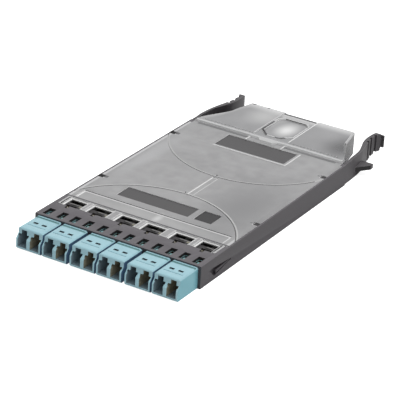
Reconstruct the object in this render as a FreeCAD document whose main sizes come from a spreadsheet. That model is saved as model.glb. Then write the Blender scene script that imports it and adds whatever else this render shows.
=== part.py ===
# Fibre cassette: a flat tray with six duplex adapters in front, a clear snap-on cover, a
# twelve-fibre port at the back and two sprung release levers.
# Each piece is drawn with the front face of the side rails at Y = 0 and the underside at
# Z = 0, and its placement then centres the whole cassette in depth.
import FreeCAD, Part
import math
import os
import re
import Sketcher

SIZES = (
    ("overshoot", 1.0, "how far a cut reaches past the face it opens"),
    ("body_width", 83.0, "across the two side rails"),
    ("rail_height", 10.4, "height of the rails and of the flat lid"),
    ("rail_gauge", 1.9, "wall of a side rail"),
    ("ledge_width", 1.0, "ledge inside a rail that carries the cover"),
    ("rim_gauge", 0.7, "rim of a side rail beside the cover"),
    ("rail_length", 126.5, "front face to the end of a rail"),
    ("floor_gauge", 1.0, "tray floor"),
    ("tail_length", 33.6, "end of the rails to the rear face"),
    ("tail_waist_inset", 8.25, "cover's side to where the tail straightens"),
    ("tail_shoulder_run", 3.0, "end of the rails to where the tail bends inwards"),
    ("tail_waist_run", 18.0, "end of the rails to where the tail straightens"),
    ("tail_rear_inset", 11.45, "cover's side to the tail's side at the rear face"),
    ("tail_radius", 11.0, "radius of the two bends of the tail"),
    ("tail_wall_height", 7.4, "inner wall of the tray round the tail"),
    ("tail_wall_gauge", 1.0, "inner wall of the tray round the tail"),
    ("bridge_depth", 13.8, "top bridge over the adapters, front to back"),
    ("bridge_gauge", 1.4, "thickness of the top bridge"),
    ("shelf_gauge", 0.7, "shelf behind the bridge, under the cover's windows"),
    ("shelf_rear", 19.4, "front face to the rear edge of the shelf"),
    ("shelf_slot_width", 5.2, "opening in the shelf over the inner plugs"),
    ("shelf_slot_depth", 2.6, "opening in the shelf, front to back"),
    ("partition_end", 22.0, "how far the partitions between adapters reach"),
    ("slot_width", 3.1, "latch slot in the bridge"),
    ("slot_depth", 6.0, "latch slot in the bridge, front to back"),
    ("slot_setback", 1.6, "front face to the latch slots"),
    ("slot_spacing", 6.8, "between the two slots of one adapter"),
    ("notch_width", 1.6, "notch in the rear edge of the bridge"),
    ("notch_depth", 2.2, "notch in the rear edge of the bridge"),
    ("adapter_width", 12.3, "front block of a duplex adapter"),
    ("adapter_gap", 1.0, "between the adapters of a pair"),
    ("pair_gap", 1.7, "between two pairs of adapters"),
    ("adapter_height", 9.5, "front block of a duplex adapter"),
    ("adapter_lift", 0.2, "underside of an adapter above the tray's underside"),
    ("adapter_reach", 15.7, "how far the adapters stand out in front"),
    ("adapter_setback", 1.8, "upper part of an adapter's face behind its lip"),
    ("adapter_lip", 4.9, "height of the adapter's lower lip"),
    ("adapter_slope", 2.1, "height of the slope above the lip"),
    ("face_chamfer", 0.4, "bevel over an adapter's upper face"),
    ("adapter_tail", 12.0, "adapter behind the front face"),
    ("adapter_inset", 0.6, "step from the front block to the seated body, each side"),
    ("adapter_chamfer", 0.7, "bevel round the adapter's lower lip"),
    ("adapter_bevel", 0.6, "bevel along both upper edges of an adapter"),
    ("ridge_setback", 1.0, "front face of the rails to the groove across an adapter"),
    ("ridge_groove", 1.3, "groove across the top of an adapter"),
    ("ridge_sink", 0.3, "depth of the groove across an adapter"),
    ("step_setback", 9.6, "front face of the rails to the fine line across an adapter"),
    ("step_width", 0.4, "fine line across an adapter"),
    ("step_half", 4.6, "half length of the fine line across an adapter"),
    ("step_sink", 0.2, "depth of the fine line across an adapter"),
    ("top_slot_pitch", 4.3, "between the two small slots on top of an adapter"),
    ("top_slot_width", 2.1, "small slot on top of an adapter"),
    ("top_slot_depth", 1.1, "small slot on top of an adapter, front to back"),
    ("top_slot_setback", 6.4, "front face of the rails to the small slots"),
    ("top_slot_sink", 1.2, "depth of the small slots"),
    ("well_sink", 2.6, "depth of an adapter's recess under a latch slot"),
    ("well_margin", 0.2, "round a recess inside its latch slot"),
    ("port_pitch", 6.25, "between the two ports of an adapter"),
    ("port_width", 4.5, "port for one plug"),
    ("port_height", 4.6, "port for one plug"),
    ("port_floor", 1.2, "wall under a port"),
    ("key_width", 5.1, "side notches above a port"),
    ("key_height", 0.9, "side notches above a port"),
    ("latch_width", 2.7, "notch for a plug's latch"),
    ("latch_height", 1.8, "notch for a plug's latch"),
    ("web_gauge", 1.6, "wall in the middle of an adapter"),
    ("holder_radius", 1.3, "tube that holds an alignment sleeve"),
    ("holder_length", 7.6, "tube that holds an alignment sleeve"),
    ("tab_gauge", 0.5, "latch tab of an adapter above its seated body"),
    ("tab_width", 1.4, "latch tab of an adapter"),
    ("tab_depth", 2.7, "latch tab of an adapter, front to back"),
    ("sleeve_radius", 0.81, "outside of an alignment sleeve"),
    ("sleeve_gauge", 0.15, "wall of an alignment sleeve"),
    ("sleeve_length", 6.8, "alignment sleeve"),
    ("sleeve_split", 0.3, "slot along an alignment sleeve"),
    ("sleeve_clearance", 0.05, "between a sleeve and its holder"),
    ("ferrule_radius", 0.625, "ceramic ferrule"),
    ("ferrule_length", 6.6, "ceramic ferrule in front of its housing"),
    ("ferrule_seat", 2.0, "ceramic ferrule inside its housing"),
    ("ferrule_gap", 0.02, "round a ferrule in its housing"),
    ("housing_width", 4.3, "housing of an inner plug"),
    ("housing_length", 13.6, "housing of an inner plug"),
    ("collar_width", 3.6, "rear collar of an inner plug"),
    ("collar_length", 2.6, "rear collar of an inner plug"),
    ("arm_width", 2.1, "latch arm of an inner plug"),
    ("arm_start", 1.2, "front of a housing to its latch arm"),
    ("arm_bend", 4.0, "level end of a latch arm, ahead of the housing's end"),
    ("arm_gauge", 0.9, "thickness of a latch arm"),
    ("arm_overhang", 0.4, "latch arm behind its housing"),
    ("arm_rise", 2.2, "latch arm above its housing"),
    ("boot_radius", 1.3, "boot of an inner plug"),
    ("boot_length", 8.5, "boot of an inner plug"),
    ("fibre_width", 0.9, "buffered fibre"),
    ("fibre_lead", 3.0, "straight stretch of fibre at each end"),
    ("fibre_bend", 15.0, "bend radius of a fibre"),
    ("fan_front", 86.0, "front face to the fan-out block"),
    ("fan_length", 11.0, "fan-out block"),
    ("fan_pitch", 1.2, "between the fibres at the fan-out block"),
    ("fan_taper", 4.0, "narrowing rear end of the fan-out block"),
    ("fan_margin", 1.0, "shoulder round the ribbon and round the block's foot"),
    ("keeper_gauge", 1.2, "wall on each side of the fan-out block"),
    ("fan_height", 3.4, "fan-out block"),
    ("ribbon_width", 3.1, "twelve-fibre ribbon"),
    ("ribbon_gauge", 0.35, "twelve-fibre ribbon"),
    ("mpo_axis", 5.5, "height of the rear port's axis"),
    ("mpo_width", 13.2, "rear adapter"),
    ("mpo_height", 8.8, "rear adapter"),
    ("mpo_length", 21.6, "rear adapter"),
    ("mpo_stand", 1.2, "rear adapter behind the cover's rear face"),
    ("cradle_gauge", 1.6, "wall on each side of the rear adapter"),
    ("cradle_setback", 2.0, "front of the rear adapter to those walls"),
    ("mpo_flange_width", 17.2, "flange of the rear adapter"),
    ("mpo_flange_gauge", 1.6, "flange of the rear adapter"),
    ("mpo_port_width", 10.0, "rear port"),
    ("mpo_port_height", 6.6, "rear port"),
    ("mpo_key_width", 2.8, "keyway over the rear port"),
    ("mpo_key_height", 0.7, "keyway over the rear port"),
    ("mpo_web_gauge", 1.6, "wall in the middle of the rear adapter"),
    ("mt_width", 6.4, "ferrule for twelve fibres"),
    ("mt_height", 2.5, "ferrule for twelve fibres"),
    ("mt_length", 9.0, "ferrule for twelve fibres"),
    ("pin_radius", 0.35, "guide pin"),
    ("pin_pitch", 4.6, "between the two guide pins"),
    ("pin_length", 6.0, "guide pin"),
    ("pin_gap", 0.02, "round a guide pin in its hole"),
    ("mpo_plug_length", 19.0, "housing of the inner twelve-fibre plug"),
    ("grip_inset", 1.0, "pull sleeve of that plug, narrower than the rear adapter"),
    ("grip_drop", 1.4, "pull sleeve of that plug, lower than the rear adapter"),
    ("grip_gap", 1.6, "pull sleeve of that plug to the rear adapter"),
    ("mpo_boot_length", 9.0, "boot of the inner twelve-fibre plug"),
    ("mpo_boot_round", 0.8, "bevelled edges of that boot"),
    ("fit_gap", 0.1, "clearance round a piece in its seat"),
    ("cover_gauge", 1.3, "lid of the cover"),
    ("cover_gap", 0.15, "between the cover and each rail"),
    ("cover_front", 22.4, "front face to the cover's front edge"),
    ("hump_rise", 0.9, "raised tail of the cover above its flat lid"),
    ("hump_round", 0.7, "bevel round the raised tail"),
    ("skirt_gauge", 1.2, "wall of the cover round the tail"),
    ("ledge_lip", 0.8, "lower lip round the cover's front windows"),
    ("lip_gauge", 0.6, "lower lip round the cover's front windows"),
    ("side_finger", 1.6, "outermost fingers of the cover"),
    ("finger_front", 14.1, "front face to the tips of the cover's fingers"),
    ("finger_width", 2.3, "cover finger between the adapters of a pair"),
    ("wide_finger", 3.5, "cover finger between two pairs"),
    ("panel_front", 24.0, "front face to the sunk front panel"),
    ("panel_rear", 31.8, "front face to the rear edge of the front panel"),
    ("panel_half", 37.4, "half width of the front panel"),
    ("panel_sink", 0.45, "depth of the front panel"),
    ("plate_sink", 0.25, "depth of the sunk plates in the lid"),
    ("plate_front", 36.2, "front face to the two small plates"),
    ("plate_depth", 9.7, "small plates, front to back"),
    ("plate_half", 24.0, "outer edges of the two small plates"),
    ("label_width", 36.4, "wide plate"),
    ("pane_width", 8.8, "small window"),
    ("window_front", 109.2, "front face to the rear window"),
    ("window_depth", 13.2, "rear window, front to back"),
    ("window_half", 18.3, "half width of the rear window"),
    ("arc_radius", 44.2, "curved grooves in the lid"),
    ("arc_groove", 0.5, "width of the curved grooves"),
    ("arc_sink", 0.3, "depth of the curved grooves"),
    ("front_arc", 55.2, "front face to the front arc's crown"),
    ("rear_arc", 78.6, "front face to the rear arc's crown"),
    ("strap_width", 3.0, "strap between the two arcs"),
    ("dot_width", 1.0, "small holes at the strap's ends"),
    ("bead_width", 2.3, "bead along the front edge of the raised tail"),
    ("bead_groove", 0.7, "groove behind that bead"),
    ("bead_sink", 0.4, "depth of the groove behind the bead"),
    ("bead_half", 35.8, "half length of the bead"),
    ("boss_half", 5.5, "half width of the wedge in front of the bead"),
    ("boss_depth", 2.2, "wedge in front of the bead, front to back"),
    ("rib_width", 0.5, "fine raised lines on the lid"),
    ("rib_rise", 0.25, "fine raised lines on the lid"),
    ("tick_length", 4.5, "raised lines that lead from the bead to the window"),
    ("frame_gap", 1.7, "raised line round the rear window, from its edge"),
    ("ring_width", 0.8, "raised ring round the dish"),
    ("channel_half", 9.0, "half width of the channel in the tail"),
    ("channel_sink", 0.4, "depth of the channel in the tail"),
    ("dish_half", 7.8, "half width of the dish in the tail"),
    ("dish_front", 131.8, "front face to the dish"),
    ("dish_depth", 21.6, "dish, front to back"),
    ("dish_corner", 4.8, "cut corners of the dish"),
    ("dish_sink", 0.4, "depth of the dish below the channel"),
    ("door_notch", 0.9, "notch in the tail's rear edge over the rear adapter"),
    ("catch_front", 48.5, "front face to the front cover catches"),
    ("catch_rear", 108.1, "front face to the rear cover catches"),
    ("catch_length", 3.0, "cover catch along the rail"),
    ("catch_width", 1.1, "notch for a catch in the cover's edge"),
    ("hook_gap", 0.2, "round a catch in its notch"),
    ("latch_slot_front", 6.8, "front face to the side latch's opening"),
    ("latch_slot_rear", 24.4, "front face to the root of the side latch"),
    ("latch_slot_floor", 1.4, "underside to the side latch's opening"),
    ("latch_slot_rise", 4.6, "height of the side latch's opening"),
    ("latch_slot_sink", 1.6, "depth of the side latch's opening"),
    ("lever_length", 43.0, "end of a rail to the tip of its lever"),
    ("lever_gauge", 1.4, "blade of a release lever"),
    ("lever_nose_gap", 0.06, "round the lever's nose in the rail"),
    ("lever_lift", 0.3, "underside of a lever above the tray's underside"),
    ("lever_crest", 0.4, "top of a lever above the rails"),
    ("lever_lean", 4.3, "how far the grip stands inwards of the rail"),
    ("grip_gauge", 2.3, "grip of a release lever"),
    ("grip_length", 16.0, "grip of a release lever"),
    ("grip_floor", 2.3, "underside to the bottom of the grip"),
    ("grip_slope", 11.0, "length over which the lever's lower edge rises to the grip"),
    ("grip_round", 5.2, "rounded end of a grip seen from the side"),
    ("rib_start", 0.6, "front of the grip to its first groove"),
    ("rib_pitch", 4.1, "between the grooves of a grip"),
    ("rib_groove", 1.7, "groove in a grip"),
    ("rib_depth", 1.0, "groove in a grip"),
    ("fin_reach", 4.3, "fin of a lever beyond the rail"),
    ("fin_gauge", 2.2, "fin of a lever"),
    ("fin_floor", 2.9, "underside to the lever's fin"),
    ("fin_run", 9.5, "end of a rail to the fin's front root"),
    ("fin_length", 9.5, "root of the fin along the lever"),
    ("fin_tip", 2.4, "flat tip of the fin"),
)

ADAPTERS = 6
PORTS = 2 * ADAPTERS
GROOVES = 4
FLATS = 8  # small round pieces that repeat have this many sides
CHORDS = 3  # straight pieces in one bend of a fibre

doc = FreeCAD.newDocument("fibre_cassette")
sheet = doc.addObject("Spreadsheet::Sheet", "sizes")
for row, (alias, value, note) in enumerate(SIZES, 1):
    sheet.set("A%d" % row, note)
    sheet.set("B%d" % row, str(value))
    sheet.setAlias("B%d" % row, alias)
doc.recompute()
ALIASES = {alias for alias, value, note in SIZES}

# Places that several pieces share, written in the sheet's names.
HALF = "(body_width / 2)"
RAIL_INSIDE = "(body_width / 2 - rail_gauge)"
LID_UNDER = "(rail_height - cover_gauge)"
LID_TOP = "rail_height"
COVER_HALF = "(body_width / 2 - rail_gauge - cover_gap)"
WING_HALF = "(body_width / 2 - rim_gauge - cover_gap)"
WING_END = "(rail_length - rail_gauge * 1.5)"
REAR = "(rail_length + tail_length)"
HUMP_TOP = "(rail_height + hump_rise)"
FRONT_TO_CENTRE = "(adapter_reach - (adapter_reach + rail_length + lever_length) / 2)"
SEATED_HALF = "(adapter_width / 2 - adapter_inset)"
SEATED_TOP = "(rail_height - bridge_gauge - fit_gap)"
ADAPTER_MIDDLE = "((adapter_tail - adapter_reach) / 2)"
PORT_FLOOR = "(adapter_lift + port_floor)"
PORT_AXIS = "(adapter_lift + port_floor + port_height / 2)"
HOUSING_FRONT = "((adapter_tail - adapter_reach) / 2 + ferrule_length)"
HOUSING_REAR = "((adapter_tail - adapter_reach) / 2 + ferrule_length + housing_length)"
COLLAR_REAR = "((adapter_tail - adapter_reach) / 2 + ferrule_length + housing_length + collar_length)"
MPO_REAR = "(rail_length + tail_length + mpo_stand)"
MPO_FRONT = "(rail_length + tail_length + mpo_stand - mpo_length)"
MPO_MIDDLE = "(rail_length + tail_length + mpo_stand - mpo_length / 2)"
MPO_PLUG_REAR = "(rail_length + tail_length + mpo_stand - mpo_length / 2 - mt_length * 0.5)"
MPO_PLUG_FRONT = MPO_PLUG_REAR[:-1] + " - mpo_plug_length)"
MPO_BOOT_FRONT = MPO_PLUG_FRONT[:-1] + " - mpo_boot_length)"
FAN_HALF = "(fan_pitch * %g)" % ((PORTS + 1) / 2)
LEVER_X = "(body_width / 2 - rail_gauge / 2)"
TAIL_BEND = ("min(tail_radius; 0.95 * tail_shoulder_run"
             " / tan(atan(tail_waist_inset / (tail_waist_run - tail_shoulder_run)) / 2))")


def bound(text):
    """The expression with the sheet's name before each of its aliases."""
    return re.sub(r"[a-z_]+", lambda word: "sizes." + word[0] if word[0] in ALIASES else word[0], text)


def size(text):
    """The value of an expression in the sheet's names."""
    return float(sheet.evalExpression(bound(text)))


def tie(item, **properties):
    """Bind properties of an object; a double underscore stands for a dot."""
    for name, text in properties.items():
        item.setExpression(name.replace("__", "."), bound(text))
    return item


def new_body(label):
    """An empty body in the cassette's frame."""
    body = doc.addObject("PartDesign::Body", label)
    body.Label = label
    tie(body, Placement__Base__y=FRONT_TO_CENTRE)
    return body


def sketch_on(body, plane, name, offset="0", loops=(), circles=()):
    """A sketch on one of the body's origin planes, with every corner tied to the sheet."""
    sketch = body.newObject("Sketcher::SketchObject", name)
    support = next(item for item in body.Origin.OriginFeatures if item.Role == plane)
    sketch.AttachmentSupport = [(support, "")]
    sketch.MapMode = "FlatFace"
    tie(sketch, AttachmentOffset__Base__z=offset)
    lines, rules, ties = [], [], []
    for corners in loops:
        first = len(lines)
        points = [FreeCAD.Vector(size(x), size(y), 0) for x, y in corners]
        for index, (x, y) in enumerate(corners):
            here, after = first + index, first + (index + 1) % len(corners)
            lines.append(Part.LineSegment(points[index], points[(index + 1) % len(corners)]))
            rules.append(Sketcher.Constraint("Coincident", here, 2, after, 1))
            for way, text, value in (("DistanceX", x, points[index].x), ("DistanceY", y, points[index].y)):
                rules.append(Sketcher.Constraint(way, -1, 1, here, 1, value))
                ties.append((len(rules) - 1, text))
    for x, y, radius in circles:
        here = len(lines)
        lines.append(Part.Circle(FreeCAD.Vector(size(x), size(y), 0), FreeCAD.Vector(0, 0, 1), size(radius)))
        for way, text in (("DistanceX", x), ("DistanceY", y)):
            rules.append(Sketcher.Constraint(way, -1, 1, here, 3, size(text)))
            ties.append((len(rules) - 1, text))
        rules.append(Sketcher.Constraint("Radius", here, size(radius)))
        ties.append((len(rules) - 1, radius))
    sketch.addGeometry(lines, False)
    sketch.addConstraint(rules)
    for index, text in ties:
        sketch.setExpression("Constraints[%d]" % index, bound(text))
    return sketch


def box_loop(left, right, low, high):
    """A rectangle for a sketch."""
    return [(left, low), (right, low), (right, high), (left, high)]


def round_loop(x, z, radius):
    """A many-sided ring for a sketch, with its first corner to the right."""
    corners = []
    for index in range(FLATS):
        turn = math.radians(index * 360 / FLATS)
        corners.append(("(%s + %.6f * %s)" % (x, math.cos(turn), radius),
                        "(%s + %.6f * %s)" % (z, math.sin(turn), radius)))
    return corners


def rod(name, radius, length):
    """A many-sided rod that lies along Y, with its first corner to the right."""
    item = doc.addObject("Part::Prism", name)
    item.Polygon = FLATS
    item.Placement.Rotation = FreeCAD.Rotation(FreeCAD.Vector(1, 0, 0), -90)
    return tie(item, Circumradius=radius, Height=length)


def pad(body, sketch, length, symmetric=False, backwards=False):
    """Material added from a sketch."""
    item = body.newObject("PartDesign::Pad", sketch.Name + "_pad")
    item.Profile = sketch
    item.Midplane = symmetric
    item.Reversed = backwards
    return tie(item, Length=length)


def pocket(body, sketch, length, symmetric=False, backwards=False):
    """Material taken away from a sketch."""
    item = body.newObject("PartDesign::Pocket", sketch.Name + "_pocket")
    item.Profile = sketch
    item.Midplane = symmetric
    item.Reversed = backwards
    return tie(item, Length=length)


def round_edges(body, name, radius, wanted):
    """A fillet on the edges of the body's tip that the test picks."""
    doc.recompute()
    tip = body.Tip
    names = ["Edge%d" % (index + 1) for index, edge in enumerate(tip.Shape.Edges) if wanted(edge)]
    item = body.newObject("PartDesign::Fillet", name)
    item.Base = (tip, names)
    return tie(item, Radius=radius)


def bevel_edges(body, name, width, wanted):
    """A chamfer on the edges of the body's tip that the test picks."""
    doc.recompute()
    tip = body.Tip
    names = ["Edge%d" % (index + 1) for index, edge in enumerate(tip.Shape.Edges) if wanted(edge)]
    item = body.newObject("PartDesign::Chamfer", name)
    item.Base = (tip, names)
    return tie(item, Size=width)


def upright_at(edge, places):
    """True for a vertical edge over one of the given places."""
    middle = edge.CenterOfMass
    if abs(edge.tangentAt(edge.FirstParameter).z) < 0.99:
        return False
    return any(math.hypot(middle.x - x, middle.y - y) < 0.05 for x, y in places)


def adapter_x(index):
    """Centre of one adapter across the cassette: three pairs side by side."""
    pair, side = divmod(index, 2)
    pitch = "(2 * adapter_width + adapter_gap + pair_gap)"
    return "((%d) * %s + (%g) * (adapter_width + adapter_gap))" % (pair - 1, pitch, side - 0.5)


def port_x(index):
    """Centre of one port across the cassette."""
    adapter, side = divmod(index, 2)
    return "(%s + (%g) * port_pitch)" % (adapter_x(adapter), side - 0.5)


def tail_outline(inset, front):
    """Outline of the tail from a depth behind the front face, drawn in by an inset."""
    right = [
        ("(%s - %s)" % (COVER_HALF, inset), front),
        ("(%s - %s)" % (COVER_HALF, inset), "(rail_length + tail_shoulder_run)"),
        ("(%s - tail_waist_inset - %s)" % (COVER_HALF, inset), "(rail_length + tail_waist_run)"),
        ("(%s - tail_rear_inset - %s)" % (COVER_HALF, inset), "(%s - %s)" % (REAR, inset)),
    ]
    return right + [("(-%s)" % x, y) for x, y in reversed(right)]


def tail_bends(insets):
    """Places of the two bends of the tail on both sides, for outlines with these insets."""
    places = []
    for inset in insets:
        for x, y in tail_outline(inset, "0")[1:3]:
            places += [(size(x), size(y)), (-size(x), size(y))]
    return places


# The side latch's opening and its tongue seen from the side: where a corner is measured from,
# and shares of the opening's height along the rail and upwards.
LATCH_OPENING = (("latch_slot_front", 0, 0.9), ("latch_slot_front", 1, 0), ("latch_slot_rear", 0, 0.55),
                 ("latch_slot_rear", 0, 0.75), ("latch_slot_front", 0.6, 1))
LATCH_TONGUE = (("latch_slot_front", 1.3, 0.2), ("latch_slot_rear", 0.1, 0.55), ("latch_slot_rear", 0.1, 0.7),
                ("latch_slot_front", 1.3, 0.5))


def build_tray():
    """The dark moulding: floor, side rails, top bridge, partitions and tail wall."""
    body = new_body("tray")
    floor = [("(-%s)" % HALF, "0"), (HALF, "0"), (HALF, "rail_length"), (COVER_HALF, "rail_length")]
    floor += tail_outline("0", "0")[1:7]
    floor += [("(-%s)" % COVER_HALF, "rail_length"), ("(-%s)" % HALF, "rail_length")]
    pad(body, sketch_on(body, "XY_Plane", "tray_floor", loops=[floor]), "floor_gauge")

    walls = []
    for side in ("", "-"):
        walls.append(box_loop("(%s%s)" % (side, RAIL_INSIDE), "(%s%s)" % (side, HALF), "0", "rail_length"))
    pad(body, sketch_on(body, "XY_Plane", "tray_rails", loops=walls), "rail_height")
    ledges = []
    for side in ("", "-"):
        inner = "(%s(%s - ledge_width))" % (side, RAIL_INSIDE)
        outer = "(%s(%s + rail_gauge / 2))" % (side, RAIL_INSIDE)
        ledges.append(box_loop(inner, outer, "partition_end", "(rail_length - rail_gauge)"))
    pad(body, sketch_on(body, "XY_Plane", "tray_ledges", loops=ledges), LID_UNDER)

    rebates = []
    for side in ("", "-"):
        rebates.append(box_loop("(%s%s)" % (side, RAIL_INSIDE), "(%s(%s - rim_gauge))" % (side, HALF),
                                "(cover_front - fit_gap)", "(%s + fit_gap)" % WING_END))
    pocket(body, sketch_on(body, "XY_Plane", "tray_rebates", LID_TOP, rebates), "cover_gauge")

    bays = []
    for index in range(ADAPTERS):
        middle = adapter_x(index)
        half = "(%s + fit_gap)" % SEATED_HALF
        low, high = "(%s - %s)" % (middle, half), "(%s + %s)" % (middle, half)
        bays.append(box_loop(low, high, "(-overshoot)", "(adapter_tail + fit_gap)"))
    pocket(body, sketch_on(body, "XY_Plane", "tray_bays", loops=bays), "floor_gauge", backwards=True)

    partitions = []
    for index in range(ADAPTERS - 1):
        left = "(%s + %s + fit_gap)" % (adapter_x(index), SEATED_HALF)
        right = "(%s - %s - fit_gap)" % (adapter_x(index + 1), SEATED_HALF)
        partitions.append(box_loop(left, right, "0", "partition_end"))
    pad(body, sketch_on(body, "XY_Plane", "tray_partitions", loops=partitions), LID_UNDER)

    shelves = []
    for index in range(ADAPTERS):
        half = "(%s + fit_gap)" % SEATED_HALF
        middle, front = adapter_x(index), "(bridge_depth - bridge_gauge)"
        left, right = "(%s - %s)" % (middle, half), "(%s + %s)" % (middle, half)
        shelves.append(box_loop(left, right, front, "shelf_rear"))
        edge = "(bridge_depth + bridge_gauge / 2)"
        shelves.append(box_loop("(%s - shelf_slot_width / 2)" % middle, "(%s + shelf_slot_width / 2)" % middle,
                                edge, "(%s + shelf_slot_depth)" % edge))
    shelf = sketch_on(body, "XY_Plane", "tray_shelf", "(%s - shelf_gauge)" % LID_UNDER, shelves)
    pad(body, shelf, "shelf_gauge")

    bridge = [box_loop("(-%s)" % HALF, HALF, "0", "bridge_depth")]
    for index in range(PORTS):
        adapter, side = divmod(index, 2)
        middle = "(%s + (%g) * slot_spacing)" % (adapter_x(adapter), side - 0.5)
        slot = ("(%s - slot_width / 2)" % middle, "(%s + slot_width / 2)" % middle)
        bridge.append(box_loop(slot[0], slot[1], "slot_setback", "(slot_setback + slot_depth)"))
    underside = "(rail_height - bridge_gauge)"
    pad(body, sketch_on(body, "XY_Plane", "tray_bridge", underside, bridge), "bridge_gauge")
    notches = []
    for index in range(ADAPTERS):
        left = "(%s - notch_width / 2)" % adapter_x(index)
        right = "(%s + notch_width / 2)" % adapter_x(index)
        notches.append(box_loop(left, right, "(bridge_depth - notch_depth)", "(bridge_depth + overshoot)"))
    pocket(body, sketch_on(body, "XY_Plane", "tray_notches", LID_TOP, notches), "bridge_gauge")

    inset = "(skirt_gauge + fit_gap)"
    rim = tail_outline(inset, "(rail_length - tail_waist_run / 3)")
    bare = tail_outline("(skirt_gauge + fit_gap + tail_wall_gauge)", "(rail_length - tail_waist_run / 3)")
    right_wall = rim[0:4] + list(reversed(bare[0:4]))
    left_wall = [("(-%s)" % x, y) for x, y in right_wall]
    tail_walls = sketch_on(body, "XY_Plane", "tray_tail_walls", loops=[right_wall, left_wall])
    pad(body, tail_walls, "(floor_gauge + tail_wall_height)")

    cradle_low, cradle_high = "(mpo_width / 2 + fit_gap)", "(mpo_width / 2 + fit_gap + cradle_gauge)"
    cradle = [
        box_loop(cradle_low, cradle_high, "(%s + cradle_setback)" % MPO_FRONT, "(%s - skirt_gauge - fit_gap)" % REAR),
        box_loop("(-%s)" % cradle_high, "(-%s)" % cradle_low, "(%s + cradle_setback)" % MPO_FRONT,
                 "(%s - skirt_gauge - fit_gap)" % REAR),
    ]
    pad(body, sketch_on(body, "XY_Plane", "tray_cradle", loops=cradle), "mpo_axis")

    fan_half = "(%s + fit_gap)" % FAN_HALF
    keepers = []
    for side in ("", "-"):
        keepers.append(box_loop("(%s%s)" % (side, fan_half), "(%s(%s + keeper_gauge))" % (side, fan_half),
                                "(fan_front + fan_margin)", "(fan_front + fan_length - fan_margin)"))
    pad(body, sketch_on(body, "XY_Plane", "tray_fan_keepers", loops=keepers), PORT_AXIS)

    hooks = []
    for place in ("catch_front", "catch_rear"):
        for side in ("", "-"):
            inner = "(%s(%s - catch_width + hook_gap))" % (side, COVER_HALF)
            hooks.append(box_loop(inner, "(%s(%s - rim_gauge / 2))" % (side, HALF),
                                  "(%s - catch_length / 2 + hook_gap)" % place,
                                  "(%s + catch_length / 2 - hook_gap)" % place))
    pad(body, sketch_on(body, "XY_Plane", "tray_hooks", LID_UNDER, hooks), "(cover_gauge - plate_sink)")

    def latch_loop(shares):
        return [("(%s + %g * latch_slot_rise)" % (start, along),
                 "(latch_slot_floor + %g * latch_slot_rise)" % up) for start, along, up in shares]
    for side, sign in (("right", 1), ("left", -1)):
        face = "(%d * (%s))" % (sign, HALF)
        cut = sketch_on(body, "YZ_Plane", "tray_latch_%s" % side, face, [latch_loop(LATCH_OPENING)])
        pocket(body, cut, "latch_slot_sink", backwards=sign < 0)
        ramp_face = "(%d * (%s - latch_slot_sink / 4))" % (sign, HALF)
        ramp = sketch_on(body, "YZ_Plane", "tray_tongue_%s" % side, ramp_face, [latch_loop(LATCH_TONGUE)])
        pad(body, ramp, "(latch_slot_sink * 3 / 4)", backwards=sign > 0)

    for side, sign in (("right", 1), ("left", -1)):
        x = "(%d * %s)" % (sign, LEVER_X)
        hole = sketch_on(body, "XY_Plane", "tray_socket_%s" % side,
                         circles=[(x, "(rail_length + lever_nose_gap)", "(lever_gauge / 2 + lever_nose_gap)")])
        pocket(body, hole, "rail_height", backwards=True)
    bends = tail_bends(["0", inset, "(skirt_gauge + fit_gap + tail_wall_gauge)"])
    round_edges(body, "tray_bends", TAIL_BEND, lambda edge: upright_at(edge, bends))
    return body


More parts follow.
